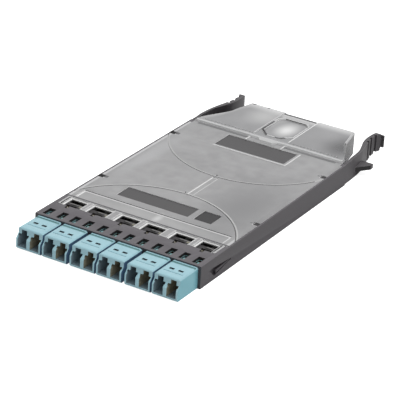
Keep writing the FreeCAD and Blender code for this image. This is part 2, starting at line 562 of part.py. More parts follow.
def build_cover():
    """The clear lid: flat top, fingers over the partitions, raised tail and skirt."""
    body = new_body("cover")
    lid = sketch_on(body, "XY_Plane", "cover_lid", LID_UNDER, [tail_outline("0", "cover_front")])
    pad(body, lid, "cover_gauge")
    wings, fingers = [], []
    for side in ("", "-"):
        wings.append(box_loop("(%s(%s - cover_gauge))" % (side, COVER_HALF), "(%s%s)" % (side, WING_HALF),
                              "cover_front", WING_END))
        fingers.append(box_loop("(%s(%s - side_finger))" % (side, COVER_HALF), "(%s%s)" % (side, COVER_HALF),
                                "finger_front", "(cover_front + cover_gauge / 2)"))
    pad(body, sketch_on(body, "XY_Plane", "cover_wings", LID_UNDER, wings), "cover_gauge")
    edges = ["(side_finger - %s)" % COVER_HALF]
    for index in range(ADAPTERS - 1):
        middle = "((%s + %s) / 2)" % (adapter_x(index), adapter_x(index + 1))
        width = "wide_finger" if index % 2 else "finger_width"
        fingers.append(box_loop("(%s - %s / 2)" % (middle, width), "(%s + %s / 2)" % (middle, width),
                                "finger_front", "(cover_front + cover_gauge / 2)"))
        edges += ["(%s - %s / 2)" % (middle, width), "(%s + %s / 2)" % (middle, width)]
    edges.append("(%s - side_finger)" % COVER_HALF)
    pad(body, sketch_on(body, "XY_Plane", "cover_fingers", LID_UNDER, fingers), "cover_gauge")
    lips, start = [], "(finger_front + ledge_lip)"
    for left, right in zip(edges[0::2], edges[1::2]):
        back = "(cover_front - ledge_lip)"
        lips.append([(left, start), (left, "cover_front"), (right, "cover_front"), (right, start),
                     ("(%s - ledge_lip)" % right, start), ("(%s - ledge_lip)" % right, back),
                     ("(%s + ledge_lip)" % left, back), ("(%s + ledge_lip)" % left, start)])
    pad(body, sketch_on(body, "XY_Plane", "cover_lips", LID_UNDER, lips), "lip_gauge")

    for name, crown, sign in (("front", "front_arc", -1), ("rear", "rear_arc", 1)):
        centre = "(%s + (%d) * arc_radius)" % (crown, sign)
        ring = [("0", centre, "(arc_radius %s arc_groove / 2)" % edge) for edge in "+-"]
        groove = sketch_on(body, "XY_Plane", "cover_arc_%s" % name, LID_TOP, circles=ring)
        pocket(body, groove, "arc_sink")

    panel = box_loop("(-panel_half)", "panel_half", "panel_front", "panel_rear")
    pocket(body, sketch_on(body, "XY_Plane", "cover_front_panel", LID_TOP, [panel]), "panel_sink")
    plates = [
        box_loop("(-plate_half)", "(label_width - plate_half)", "plate_front", "(plate_front + plate_depth)"),
        box_loop("(plate_half - pane_width)", "plate_half", "plate_front", "(plate_front + plate_depth)"),
        box_loop("(-window_half)", "window_half", "window_front", "(window_front + window_depth)"),
        box_loop("0", "strap_width", "(front_arc + dot_width)", "(rear_arc - dot_width)"),
    ]
    pocket(body, sketch_on(body, "XY_Plane", "cover_plates", LID_TOP, plates), "plate_sink")
    dots = [box_loop("(-2 * dot_width)", "(-dot_width)",
                     "(front_arc + dot_width)", "(front_arc + 2 * dot_width)"),
            box_loop("0", "dot_width", "(rear_arc + dot_width)", "(rear_arc + 2 * dot_width)")]
    pocket(body, sketch_on(body, "XY_Plane", "cover_dots", LID_TOP, dots), "(cover_gauge / 2)")
    corner_x, corner_y = "(window_half + frame_gap)", "(window_front - frame_gap)"
    frame = [("(-window_half)", corner_y), (corner_x, corner_y), (corner_x, "(window_front + window_depth)"),
             ("(%s - rib_width)" % corner_x, "(window_front + window_depth)"),
             ("(%s - rib_width)" % corner_x, "(%s + rib_width)" % corner_y),
             ("(-window_half)", "(%s + rib_width)" % corner_y)]
    ticks = [frame]
    for side in ("", "-"):
        ticks.append(box_loop("(%schannel_half)" % side, "(%s(channel_half + rib_width))" % side,
                              "(rail_length - tick_length)", "(rail_length + hump_rise)"))
    pad(body, sketch_on(body, "XY_Plane", "cover_ribs", LID_TOP, ticks), "rib_rise")

    hump = sketch_on(body, "XY_Plane", "cover_hump", LID_UNDER, [tail_outline("0", "rail_length")])
    pad(body, hump, "(cover_gauge + hump_rise)")
    hollow = sketch_on(body, "XY_Plane", "cover_hollow", LID_UNDER,
                       [tail_outline("skirt_gauge", "(rail_length + skirt_gauge)")])
    pocket(body, hollow, "hump_rise", backwards=True)
    door = box_loop("(-mpo_flange_width / 2 - fit_gap)", "(mpo_flange_width / 2 + fit_gap)",
                    "(%s - skirt_gauge - overshoot)" % REAR, "(%s + overshoot)" % REAR)
    pocket(body, sketch_on(body, "XY_Plane", "cover_door", LID_UNDER, [door]), "hump_rise", backwards=True)
    outer, inner = tail_outline("0", "rail_length"), tail_outline("skirt_gauge", "rail_length")
    right_skirt = outer[0:4] + [("(mpo_flange_width / 2 + fit_gap)", REAR)]
    right_skirt += [("(mpo_flange_width / 2 + fit_gap)", "(%s - skirt_gauge)" % REAR)]
    right_skirt += list(reversed(inner[0:4]))
    left_skirt = [("(-%s)" % x, y) for x, y in right_skirt]
    skirt = sketch_on(body, "XY_Plane", "cover_skirt", "floor_gauge", [right_skirt, left_skirt])
    pad(body, skirt, "(%s - floor_gauge)" % LID_UNDER)
    bends = tail_bends(["0", "skirt_gauge"])
    round_edges(body, "cover_bends", TAIL_BEND, lambda edge: upright_at(edge, bends))

    top, step = size(HUMP_TOP), size("rail_length")
    def rim(edge):
        flat = abs(edge.BoundBox.ZMin - top) < 0.01 and abs(edge.BoundBox.ZMax - top) < 0.01
        return flat and edge.BoundBox.YMax > step + 0.1
    bevel_edges(body, "cover_rim", "hump_round", rim)

    boss_front, boss_rear = "(rail_length - boss_depth)", "(rail_length + bead_groove)"
    boss = [("(-boss_half)", boss_rear), ("(boss_depth - boss_half)", boss_front),
            ("(boss_half - boss_depth)", boss_front), ("boss_half", boss_rear)]
    boss_at = sketch_on(body, "XY_Plane", "cover_boss", "(%s - plate_sink)" % LID_TOP, [boss])
    pad(body, boss_at, "(hump_rise + plate_sink)")
    bead_end, groove_end = "(rail_length + bead_width)", "(rail_length + bead_width + bead_groove)"
    groove = box_loop("(-bead_half)", "bead_half", bead_end, groove_end)
    pocket(body, sketch_on(body, "XY_Plane", "cover_bead", HUMP_TOP, [groove]), "bead_sink")
    channel = box_loop("(-channel_half)", "channel_half", groove_end, "(%s + overshoot)" % REAR)
    pocket(body, sketch_on(body, "XY_Plane", "cover_channel", HUMP_TOP, [channel]), "channel_sink")
    dish_rear, dish_high = "(dish_front + dish_depth)", "(%s - channel_sink)" % HUMP_TOP
    dish = [
        ("(dish_corner - dish_half)", "dish_front"), ("(dish_half - dish_corner)", "dish_front"),
        ("dish_half", "(dish_front + dish_corner)"), ("dish_half", "(%s - dish_corner / 2)" % dish_rear),
        ("(dish_half - dish_corner / 2)", dish_rear), ("(dish_corner / 2 - dish_half)", dish_rear),
        ("(-dish_half)", "(%s - dish_corner / 2)" % dish_rear), ("(-dish_half)", "(dish_front + dish_corner)"),
    ]
    ring = []
    for x, y in dish:
        leftwards = x.startswith("(-") or x.endswith("- dish_half)")
        across = "(-ring_width)" if leftwards else "ring_width"
        along = "(-ring_width)" if y.startswith(("dish_front", "(dish_front + dish_corner")) else "ring_width"
        ring.append(("(%s + %s)" % (x, across), "(%s + %s)" % (y, along)))
    pad(body, sketch_on(body, "XY_Plane", "cover_ring", dish_high, [ring]), "rib_rise")
    dish_at = sketch_on(body, "XY_Plane", "cover_dish", "(%s + rib_rise)" % dish_high, [dish])
    pocket(body, dish_at, "(dish_sink + rib_rise)")

    notches = []
    for place in ("catch_front", "catch_rear"):
        for side in ("", "-"):
            notches.append(box_loop("(%s(%s - catch_width))" % (side, COVER_HALF),
                                    "(%s(%s + overshoot))" % (side, WING_HALF),
                                    "(%s - catch_length / 2)" % place, "(%s + catch_length / 2)" % place))
    pocket(body, sketch_on(body, "XY_Plane", "cover_notches", LID_TOP, notches), "cover_gauge")
    sill = box_loop("(-mpo_flange_width / 2 - fit_gap)", "(mpo_flange_width / 2 + fit_gap)",
                    "(%s - door_notch)" % REAR, "(%s + overshoot)" % REAR)
    pocket(body, sketch_on(body, "XY_Plane", "cover_sill", HUMP_TOP, [sill]), "(cover_gauge + hump_rise)")
    return body


def port_loop(middle, width):
    """Outline of one port seen from in front: plug opening, side notches and latch notch."""
    low, high = PORT_FLOOR, "(%s + port_height)" % PORT_FLOOR
    key_top, latch_top = "(%s + key_height)" % high, "(%s + key_height + latch_height)" % high
    right = [(width, low), (width, high), ("key_width / 2", high), ("key_width / 2", key_top),
             ("latch_width / 2", key_top), ("latch_width / 2", latch_top)]
    loop = [("(%s + %s)" % (middle, x), z) for x, z in right]
    return loop + [("(%s - %s)" % (middle, x), z) for x, z in reversed(right)]


def build_adapter(index):
    """One duplex adapter: front block with a sloped lip, seated body, ports and tubes."""
    body = new_body("lc_adapter_%d" % (index + 1))
    tie(body, Placement__Base__x=adapter_x(index))
    top, shoulder = "(adapter_lift + adapter_height)", "(adapter_setback - adapter_reach)"
    lip = "(adapter_lift + adapter_lip)"
    side = [
        ("0", "adapter_lift"), ("0", top), ("(%s + face_chamfer)" % shoulder, top),
        (shoulder, "(%s - face_chamfer)" % top),
        (shoulder, "(%s + adapter_slope)" % lip), ("(-adapter_reach)", lip),
        ("(-adapter_reach)", "(adapter_lift + adapter_chamfer)"),
        ("(adapter_chamfer - adapter_reach)", "adapter_lift"),
    ]
    front = sketch_on(body, "YZ_Plane", "front_%d" % index, loops=[side])
    pad(body, front, "adapter_width", symmetric=True)
    seat = [box_loop("(-%s)" % SEATED_HALF, SEATED_HALF, "adapter_lift", SEATED_TOP)]
    seated = sketch_on(body, "XZ_Plane", "seated_%d" % index, loops=seat)
    pad(body, seated, "adapter_tail", backwards=True)

    halves = ("(-port_pitch / 2)", "(port_pitch / 2)")
    loops = [port_loop(x, "port_width / 2") for x in halves]
    mouth = sketch_on(body, "XZ_Plane", "mouth_%d" % index, "adapter_reach", loops)
    pocket(body, mouth, "(adapter_reach + %s - web_gauge / 2)" % ADAPTER_MIDDLE)
    rear = sketch_on(body, "XZ_Plane", "rear_%d" % index, "(-adapter_tail)", loops)
    pocket(body, rear, "(adapter_tail - %s - web_gauge / 2)" % ADAPTER_MIDDLE, backwards=True)
    tubes = [round_loop(x, PORT_AXIS, "holder_radius") for x in halves]
    holder = sketch_on(body, "XZ_Plane", "holder_%d" % index, "(-%s)" % ADAPTER_MIDDLE, tubes)
    pad(body, holder, "holder_length", symmetric=True)
    bores = [round_loop(x, PORT_AXIS, "(sleeve_radius + sleeve_clearance)") for x in halves]
    bore = sketch_on(body, "XZ_Plane", "bore_%d" % index, "(-%s)" % ADAPTER_MIDDLE, bores)
    pocket(body, bore, "(holder_length + overshoot)", symmetric=True)

    shape_adapter_top(body, index, top)
    open_latch_wells(body, index)
    return body


def shape_adapter_top(body, index, top):
    """Bevels, groove, fine line and two small slots on top of an adapter's front block."""
    half = "(adapter_width / 2)"
    bevels = []
    for side in ("", "-"):
        bevels.append([("(%s(%s - 2 * adapter_bevel))" % (side, half), "(%s + adapter_bevel)" % top),
                       ("(%s(%s + adapter_bevel))" % (side, half), "(%s + adapter_bevel)" % top),
                       ("(%s(%s + adapter_bevel))" % (side, half), "(%s - 2 * adapter_bevel)" % top)])
    edges = sketch_on(body, "XZ_Plane", "bevels_%d" % index, loops=bevels)
    pocket(body, edges, "adapter_reach", backwards=True)
    ridge = box_loop("(-adapter_width)", "adapter_width",
                     "(-ridge_setback - ridge_groove)", "(-ridge_setback)")
    pocket(body, sketch_on(body, "XY_Plane", "ridge_%d" % index, top, [ridge]), "ridge_sink")
    step = box_loop("(-step_half)", "step_half", "(-step_setback - step_width)", "(-step_setback)")
    pocket(body, sketch_on(body, "XY_Plane", "step_%d" % index, top, [step]), "step_sink")
    slots = []
    for side in ("-", ""):
        left = "(%stop_slot_pitch / 2 - top_slot_width / 2)" % side
        slots.append(box_loop(left, "(%s + top_slot_width)" % left, "(-top_slot_setback - top_slot_depth)",
                              "(-top_slot_setback)"))
    pocket(body, sketch_on(body, "XY_Plane", "slots_%d" % index, top, slots), "top_slot_sink")


def open_latch_wells(body, index):
    """Recesses under the bridge's latch slots, each with a tab in its front right corner."""
    wells, tabs = [], []
    front = "(slot_setback + well_margin)"
    for side in ("-", ""):
        middle = "(%sslot_spacing / 2)" % side
        left = "(%s - slot_width / 2 + well_margin)" % middle
        right = "(%s + slot_width / 2 - well_margin)" % middle
        wells.append(box_loop(left, right, front, "(slot_setback + slot_depth - well_margin)"))
        tabs.append(box_loop("(%s - tab_width)" % right, right, front, "(%s + tab_depth)" % front))
    pocket(body, sketch_on(body, "XY_Plane", "wells_%d" % index, SEATED_TOP, wells), "well_sink")
    tab = sketch_on(body, "XY_Plane", "tabs_%d" % index, "(%s - tab_gauge)" % SEATED_TOP, tabs)
    pad(body, tab, "(2 * tab_gauge + fit_gap)")


def build_sleeve(index):
    """One split alignment sleeve inside its holder tube."""
    tube = rod("sleeve_tube_%d" % index, "sleeve_radius", "sleeve_length")
    bore = rod("sleeve_bore_%d" % index, "(sleeve_radius - sleeve_gauge)", "(3 * sleeve_length)")
    tie(bore, Placement__Base__y="(-sleeve_length)")
    ring = doc.addObject("Part::Cut", "sleeve_ring_%d" % index)
    ring.Base, ring.Tool = tube, bore
    split = doc.addObject("Part::Box", "sleeve_split_%d" % index)
    tie(split, Length="sleeve_split", Width="(3 * sleeve_length)", Height="(2 * sleeve_radius)",
        Placement__Base__x="(-sleeve_split / 2)", Placement__Base__y="(-sleeve_length)")
    sleeve = doc.addObject("Part::Cut", "alignment_sleeve_%d" % (index + 1))
    sleeve.Label = sleeve.Name
    sleeve.Base, sleeve.Tool = ring, split
    return tie(sleeve, Placement__Base__x=port_x(index), Placement__Base__z=PORT_AXIS,
               Placement__Base__y="(%s + %s - sleeve_length / 2)" % (FRONT_TO_CENTRE, ADAPTER_MIDDLE))


def build_plug(index):
    """Housing of one inner plug with its collar and latch arm."""
    body = new_body("lc_plug_%d" % (index + 1))
    tie(body, Placement__Base__x=port_x(index), Placement__Base__z=PORT_AXIS)
    half = "(housing_width / 2)"
    block = sketch_on(body, "XZ_Plane", "housing_%d" % index, "(-%s)" % HOUSING_FRONT,
                      [box_loop("(-%s)" % half, half, "(-%s)" % half, half)])
    pad(body, block, "housing_length", backwards=True)
    collar = sketch_on(body, "XZ_Plane", "collar_%d" % index, "(-%s)" % HOUSING_REAR,
                       [box_loop("(-collar_width / 2)", "(collar_width / 2)", "(-collar_width / 2)",
                                 "(collar_width / 2)")])
    pad(body, collar, "collar_length", backwards=True)
    well_half = "(ferrule_radius + ferrule_gap)"
    well = sketch_on(body, "XZ_Plane", "plug_well_%d" % index, "(-%s)" % HOUSING_FRONT,
                     [box_loop("(-%s)" % well_half, well_half, "(-%s)" % well_half, well_half)])
    pocket(body, well, "ferrule_seat")
    under, over = "(%s + arm_rise - arm_gauge)" % half, "(%s + arm_rise)" % half
    root, rear = "(%s + arm_start)" % HOUSING_FRONT, "(%s + arm_overhang)" % HOUSING_REAR
    bend = "(%s - arm_bend)" % HOUSING_REAR
    arm = [(root, half), ("(%s + 2 * arm_gauge)" % root, half), (bend, under), (rear, under), (rear, over),
           ("(%s - arm_gauge / 2)" % bend, over)]
    pad(body, sketch_on(body, "YZ_Plane", "arm_%d" % index, loops=[arm]), "arm_width", symmetric=True)
    return body


def joined(name, pieces):
    """Like solids that share one file."""
    group = doc.addObject("Part::Compound", name)
    group.Label = name
    group.Links = pieces
    return tie(group, Placement__Base__y=FRONT_TO_CENTRE)


def build_ferrules():
    """Ceramic ferrules, one in each inner plug, tip to the middle of the adapter."""
    pieces = []
    for index in range(PORTS):
        item = rod("ferrule_%d" % (index + 1), "ferrule_radius", "(ferrule_length + ferrule_seat)")
        pieces.append(tie(item, Placement__Base__x=port_x(index), Placement__Base__y=ADAPTER_MIDDLE,
                          Placement__Base__z=PORT_AXIS))
    return joined("ferrules", pieces)


def build_boots():
    """Boots behind the inner plugs."""
    pieces = []
    for index in range(PORTS):
        item = rod("boot_%d" % (index + 1), "boot_radius", "boot_length")
        pieces.append(tie(item, Placement__Base__x=port_x(index), Placement__Base__y=COLLAR_REAR,
                          Placement__Base__z=PORT_AXIS))
    return joined("plug_boots", pieces)


def fibre_path(start, end, lead, radius):
    """Corners of an S-shaped path: straight, bend, straight, bend back, straight."""
    across, along = end.x - start.x, end.y - start.y - 2 * lead
    sign = 1 if across > 0 else -1
    across = abs(across)
    gap = math.hypot(across - 2 * radius, along)
    turn = math.asin(2 * radius / gap) - math.atan2(2 * radius - across, along)
    out, back = [], []
    for step in range(CHORDS + 1):
        angle = turn * step / CHORDS
        offset = FreeCAD.Vector(sign * radius * (1 - math.cos(angle)), lead + radius * math.sin(angle), 0)
        out.append(start + offset)
        back.append(end - offset)
    return [start] + out + back[::-1] + [end]


def build_fibre(index):
    """One buffered fibre from a boot to the fan-out block."""
    boot_end = size(COLLAR_REAR + " + boot_length")
    start = FreeCAD.Vector(size(port_x(index)), boot_end, size(PORT_AXIS))
    fan_x = (index - (PORTS - 1) / 2) * size("fan_pitch")
    end = FreeCAD.Vector(fan_x, size("fan_front"), size(PORT_AXIS))
    path = fibre_path(start, end, size("fibre_lead"), size("fibre_bend"))
    half = size("fibre_width") / 2
    corners = [FreeCAD.Vector(start.x + x, start.y, start.z + z)
               for x, z in ((-half, -half), (half, -half), (half, half), (-half, half), (-half, -half))]
    shape = Part.makePolygon(path).makePipeShell([Part.makePolygon(corners)], True, True, 1)
    item = doc.addObject("Part::Feature", "fibre_%d" % (index + 1))
    item.Label = item.Name
    item.Shape = shape
    return tie(item, Placement__Base__y=FRONT_TO_CENTRE)


def build_fan_out():
    """Block where the ribbon divides into twelve fibres."""
    body = new_body("fan_out_block")
    rear = "(fan_front + fan_length)"
    shoulder, nose = "(%s - fan_taper)" % rear, "(ribbon_width / 2 + fan_margin)"
    plan = [("(-%s)" % FAN_HALF, "fan_front"), (FAN_HALF, "fan_front"), (FAN_HALF, shoulder), (nose, rear),
            ("(-%s)" % nose, rear), ("(-%s)" % FAN_HALF, shoulder)]
    low = "(%s - fan_height / 2)" % PORT_AXIS
    pad(body, sketch_on(body, "XY_Plane", "fan_plan", low, [plan]), "fan_height")
    feet = [box_loop("(fan_margin - %s)" % FAN_HALF, "(%s - fan_margin)" % FAN_HALF,
                     "(fan_front + fan_margin)", "(%s - fan_margin)" % shoulder)]
    foot = sketch_on(body, "XY_Plane", "fan_foot", "floor_gauge", feet)
    pad(body, foot, "(%s - floor_gauge)" % low)
    return body


def build_ribbon():
    """Flat ribbon that rises from the fan-out block to the rear plug."""
    start = FreeCAD.Vector(0, size("fan_front + fan_length"), size(PORT_AXIS))
    end = FreeCAD.Vector(0, size(MPO_BOOT_FRONT), size("mpo_axis"))
    third = FreeCAD.Vector(0, (end.y - start.y) / 3, 0)
    path = Part.makePolygon([start, start + third, end - third, end])
    half, gauge = size("ribbon_width") / 2, size("ribbon_gauge") / 2
    corners = [start + FreeCAD.Vector(x, 0, z)
               for x, z in ((-half, -gauge), (half, -gauge), (half, gauge), (-half, gauge), (-half, -gauge))]
    item = doc.addObject("Part::Feature", "fibre_ribbon")
    item.Label = item.Name
    item.Shape = path.makePipeShell([Part.makePolygon(corners)], True, True, 1)
    return tie(item, Placement__Base__y=FRONT_TO_CENTRE)


def mpo_loop(width, height, key=True):
    """Outline of the rear port: plug opening with a keyway on top."""
    low, high = "(mpo_axis - %s / 2)" % height, "(mpo_axis + %s / 2)" % height
    right = [("(%s / 2)" % width, low), ("(%s / 2)" % width, high)]
    if key:
        right += [("(mpo_key_width / 2)", high), ("(mpo_key_width / 2)", "(%s + mpo_key_height)" % high)]
    return right + [("(-%s)" % x, z) for x, z in reversed(right)]


def build_mpo_adapter():
    """Rear adapter: a body with a flange at the rear wall and a port at each end."""
    body = new_body("mpo_adapter")
    low, high = "(mpo_axis - mpo_height / 2)", "(mpo_axis + mpo_height / 2)"
    block = [box_loop("(-mpo_width / 2)", "(mpo_width / 2)", low, high)]
    block_at = sketch_on(body, "XZ_Plane", "mpo_block", "(-%s)" % MPO_FRONT, block)
    pad(body, block_at, "mpo_length", backwards=True)
    flange = [box_loop("(-mpo_flange_width / 2)", "(mpo_flange_width / 2)", low, high)]
    flange_at = sketch_on(body, "XZ_Plane", "mpo_flange", "(-(%s - skirt_gauge))" % REAR, flange)
    pad(body, flange_at, "mpo_flange_gauge", backwards=True)
    loop = [mpo_loop("mpo_port_width", "mpo_port_height")]
    depth = "(mpo_length / 2 - mpo_web_gauge / 2)"
    pocket(body, sketch_on(body, "XZ_Plane", "mpo_mouth", "(-%s)" % MPO_REAR, loop), depth, backwards=True)
    pocket(body, sketch_on(body, "XZ_Plane", "mpo_inner", "(-%s)" % MPO_FRONT, loop), depth)
    slot = [mpo_loop("(mt_width + 2 * fit_gap)", "(mt_height + 2 * fit_gap)", key=False)]
    slot_at = sketch_on(body, "XZ_Plane", "mpo_web", "(-%s)" % MPO_MIDDLE, slot)
    pocket(body, slot_at, "(mpo_web_gauge + overshoot)", symmetric=True)
    return body


def build_mpo_plug():
    """Housing of the inner twelve-fibre plug, with its pull sleeve and key."""
    body = new_body("mpo_plug")
    rear = MPO_PLUG_REAR
    narrow = [mpo_loop("(mpo_port_width - 4 * fit_gap)", "(mpo_port_height - 4 * fit_gap)", key=False)]
    shell = sketch_on(body, "XZ_Plane", "plug_shell", "(-%s)" % MPO_PLUG_FRONT, narrow)
    pad(body, shell, "mpo_plug_length", backwards=True)
    wide = [mpo_loop("(mpo_width - grip_inset)", "(mpo_height - grip_drop)", key=False)]
    sleeve = sketch_on(body, "XZ_Plane", "plug_sleeve", "(-(%s + grip_inset))" % MPO_PLUG_FRONT, wide)
    pad(body, sleeve, "(%s - %s - grip_gap)" % (MPO_FRONT, MPO_PLUG_FRONT), backwards=True)
    well = [mpo_loop("(mt_width + 2 * fit_gap)", "(mt_height + 2 * fit_gap)", key=False)]
    well_at = sketch_on(body, "XZ_Plane", "plug_well", "(-%s)" % rear, well)
    pocket(body, well_at, "(mt_length / 2)", backwards=True)
    key = [box_loop("(-mpo_key_width / 2 + fit_gap)", "(mpo_key_width / 2 - fit_gap)",
                    "(mpo_axis + mpo_port_height / 2 - 3 * fit_gap)",
                    "(mpo_axis + mpo_port_height / 2 + mpo_key_height - fit_gap)")]
    key_at = sketch_on(body, "XZ_Plane", "plug_key", "(-(%s + 4 * fit_gap))" % MPO_FRONT, key)
    pad(body, key_at, "(%s - %s - grip_inset)" % (rear, MPO_FRONT), backwards=True)
    return body


def build_mt_ferrule():
    """Rectangular ferrule that ends at the middle of the rear adapter."""
    body = new_body("mt_ferrule")
    outline = [mpo_loop("mt_width", "mt_height", key=False)]
    block = sketch_on(body, "XZ_Plane", "mt_block", "(-%s)" % MPO_MIDDLE, outline)
    pad(body, block, "mt_length")
    radius = "(pin_radius + pin_gap)"
    holes = [round_loop("(%spin_pitch / 2)" % side, "mpo_axis", radius) for side in ("-", "")]
    drilled = sketch_on(body, "XZ_Plane", "mt_holes", "(-%s)" % MPO_MIDDLE, holes)
    pocket(body, drilled, "(pin_length / 2)", backwards=True)
    return body


def build_guide_pins():
    """Two steel pins that line up the rear ferrule with the one plugged in behind."""
    pieces = []
    for index, side in enumerate(("-", "")):
        item = rod("guide_pin_%d" % (index + 1), "pin_radius", "pin_length")
        pieces.append(tie(item, Placement__Base__x="(%spin_pitch / 2)" % side, Placement__Base__z="mpo_axis",
                          Placement__Base__y="(%s - pin_length / 2)" % MPO_MIDDLE))
    return joined("guide_pins", pieces)


def build_mpo_boot():
    """Soft boot where the ribbon enters the rear plug."""
    body = new_body("mpo_boot")
    outline = [mpo_loop("(mt_width + grip_inset)", "(mt_height + grip_drop)", key=False)]
    start = sketch_on(body, "XZ_Plane", "boot_start", "(-%s)" % MPO_BOOT_FRONT, outline)
    pad(body, start, "mpo_boot_length", backwards=True)
    bevel_edges(body, "boot_round", "mpo_boot_round",
                lambda edge: abs(edge.tangentAt(edge.FirstParameter).y) > 0.99)
    return body


def tangent_arcs(points, heading):
    """Edges through the points, each an arc that carries on in the direction of the one before."""
    edges = []
    for here, after in zip(points, points[1:]):
        chord = after - here
        swing = heading.getAngle(chord)
        if swing > 0.001:
            side = heading - chord * (heading.dot(chord) / chord.dot(chord))
            middle = here + chord / 2 + side.normalize() * (chord.Length / 2 * math.tan(swing / 2))
            edges.append(Part.Arc(here, middle, after).toShape())
        else:
            edges.append(Part.LineSegment(here, after).toShape())
        heading = chord.normalize() * (2 * heading.dot(chord)) - heading
    return edges


# Plan of a lever's two faces: share of its length, and share of how far the grip stands inwards.
LEVER_OUTER = ((0.24, 0.06), (0.50, 0.41), (0.67, 0.78), (0.79, 0.92), (0.885, 0.78), (0.975, 0.38))
LEVER_INNER = ((0.31, 0.07), (0.43, 0.24), (0.55, 0.57), (0.675, 0.84), (0.79, 0.90), (0.885, 0.84),
               (0.975, 0.64))


def share_at(table, along):
    """The second figure of a table of pairs, read between its rows."""
    for (before, low), (after, high) in zip(table, table[1:]):
        if along <= after:
            return low + (high - low) * (along - before) / (after - before)
    return table[-1][1]


def build_lever(side, sign):
    """One release lever: nose in the rail's end, thin blade, side fin and ribbed grip."""
    x0, y0 = size(LEVER_X), size("rail_length + lever_nose_gap")
    gauge, lean, length = size("lever_gauge") / 2, size("lever_lean"), size("lever_length - lever_nose_gap")
    swell = lean + size("grip_gauge - lever_gauge")
    low, high, floor = size("lever_lift"), size("rail_height + lever_crest"), size("grip_floor")

    def plan(along, across):
        return FreeCAD.Vector(sign * (x0 + across), y0 + along, 0)
    ahead = FreeCAD.Vector(0, 1, 0)
    outer = [plan(0, gauge)] + [plan(along * length, gauge - share * lean) for along, share in LEVER_OUTER]
    inner = [plan(0, -gauge)] + [plan(along * length, -gauge - share * swell) for along, share in LEVER_INNER]
    nose = Part.Arc(outer[0], plan(-gauge, 0), inner[0]).toShape()
    tip = Part.Arc(outer[-1], plan(length, -(lean + swell) / 4), inner[-1]).toShape()
    rim = Part.Wire(Part.sortEdges(tangent_arcs(outer, ahead) + tangent_arcs(inner, ahead) + [nose, tip])[0])
    blade = Part.Face(rim).extrude(FreeCAD.Vector(0, 0, high))

    reach = size(HALF + " + fin_reach") - x0
    grip_start, round_up, slope = length - size("grip_length"), size("grip_round"), size("grip_slope")
    overshoot = size("rail_gauge")
    def flank(along, height):
        return plan(along, reach + overshoot) + FreeCAD.Vector(0, 0, height)
    crest_start, rail_top = 2 * size("rail_gauge"), size("rail_height")
    below = [flank(-overshoot, low), flank(length - round_up - slope, low), flank(length - round_up, floor)]
    above = [flank(length - round_up, high), flank(2 * crest_start, high), flank(crest_start, rail_top),
             flank(-overshoot, rail_top), below[0]]
    end = Part.Arc(below[-1], flank(length, (floor + high) / 2), above[0]).toShape()
    side_view = Part.Wire(Part.makePolygon(below).Edges + [end] + Part.makePolygon(above).Edges)
    lever = blade.common(Part.Face(side_view).extrude(FreeCAD.Vector(-sign * 2 * (reach + x0), 0, 0)))

    root, rear = size("fin_run"), size("fin_run + fin_length")
    fin = Part.makePolygon([plan(root, 0), plan(rear - size("fin_tip"), reach), plan(rear, reach),
                            plan(rear, -lean / 10), plan(root, 0)])
    fin = Part.Face(fin).extrude(FreeCAD.Vector(0, 0, size("fin_gauge")))
    fin.translate(FreeCAD.Vector(0, 0, size("fin_floor")))
    lever = lever.fuse(fin)
    for groove in range(GROOVES):
        along = grip_start + size("rib_start") + groove * size("rib_pitch")
        share = share_at(LEVER_OUTER, (along + size("rib_groove") / 2) / length)
        valley = gauge - lean * share - size("rib_depth")
        near, far = plan(along, valley), plan(along + size("rib_groove"), valley + lean)
        corner = FreeCAD.Vector(min(near.x, far.x), near.y, 0)
        lever = lever.cut(Part.makeBox(lean, size("rib_groove"), high, corner))
    item = doc.addObject("Part::Feature", "release_lever_" + side)
    item.Label = item.Name
    item.Shape = lever.removeSplitter()
    return tie(item, Placement__Base__y=FRONT_TO_CENTRE)


def build_all():
    """Every piece of the cassette."""
    pieces = [build_tray(), build_cover()]
    pieces += [build_lever("right", 1), build_lever("left", -1)]
    pieces += [build_adapter(index) for index in range(ADAPTERS)]
    pieces += [build_sleeve(index) for index in range(PORTS)]
    pieces += [build_plug(index) for index in range(PORTS)]
    pieces += [build_ferrules(), build_boots()]
    pieces += [build_fibre(index) for index in range(PORTS)]
    pieces += [build_fan_out(), build_ribbon(), build_mpo_adapter(), build_mpo_plug()]
    pieces += [build_mt_ferrule(), build_guide_pins(), build_mpo_boot()]
    return pieces


parts = build_all()
doc.recompute()
failed = [item.Label for item in doc.Objects if "Invalid" in item.State or "Error" in item.State]
if failed:
    raise RuntimeError("these failed: %s" % ", ".join(failed))
for item in parts:
    if item.Shape.isNull() or not item.Shape.isValid() or not item.Shape.Solids:
        raise RuntimeError("%s has no valid solid" % item.Label)
os.makedirs("parts", exist_ok=True)
for item in parts:
    item.Shape.exportStep("parts/%s.step" % item.Label)
    box = item.Shape.BoundBox
    print("%-22s %d solid(s) %9.2f mm3  x %.2f..%.2f  y %.2f..%.2f  z %.2f..%.2f" % (
        item.Label, len(item.Shape.Solids), item.Shape.Volume,
        box.XMin, box.XMax, box.YMin, box.YMax, box.ZMin, box.ZMax))
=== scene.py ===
import math

import bpy
from mathutils import Matrix, Vector


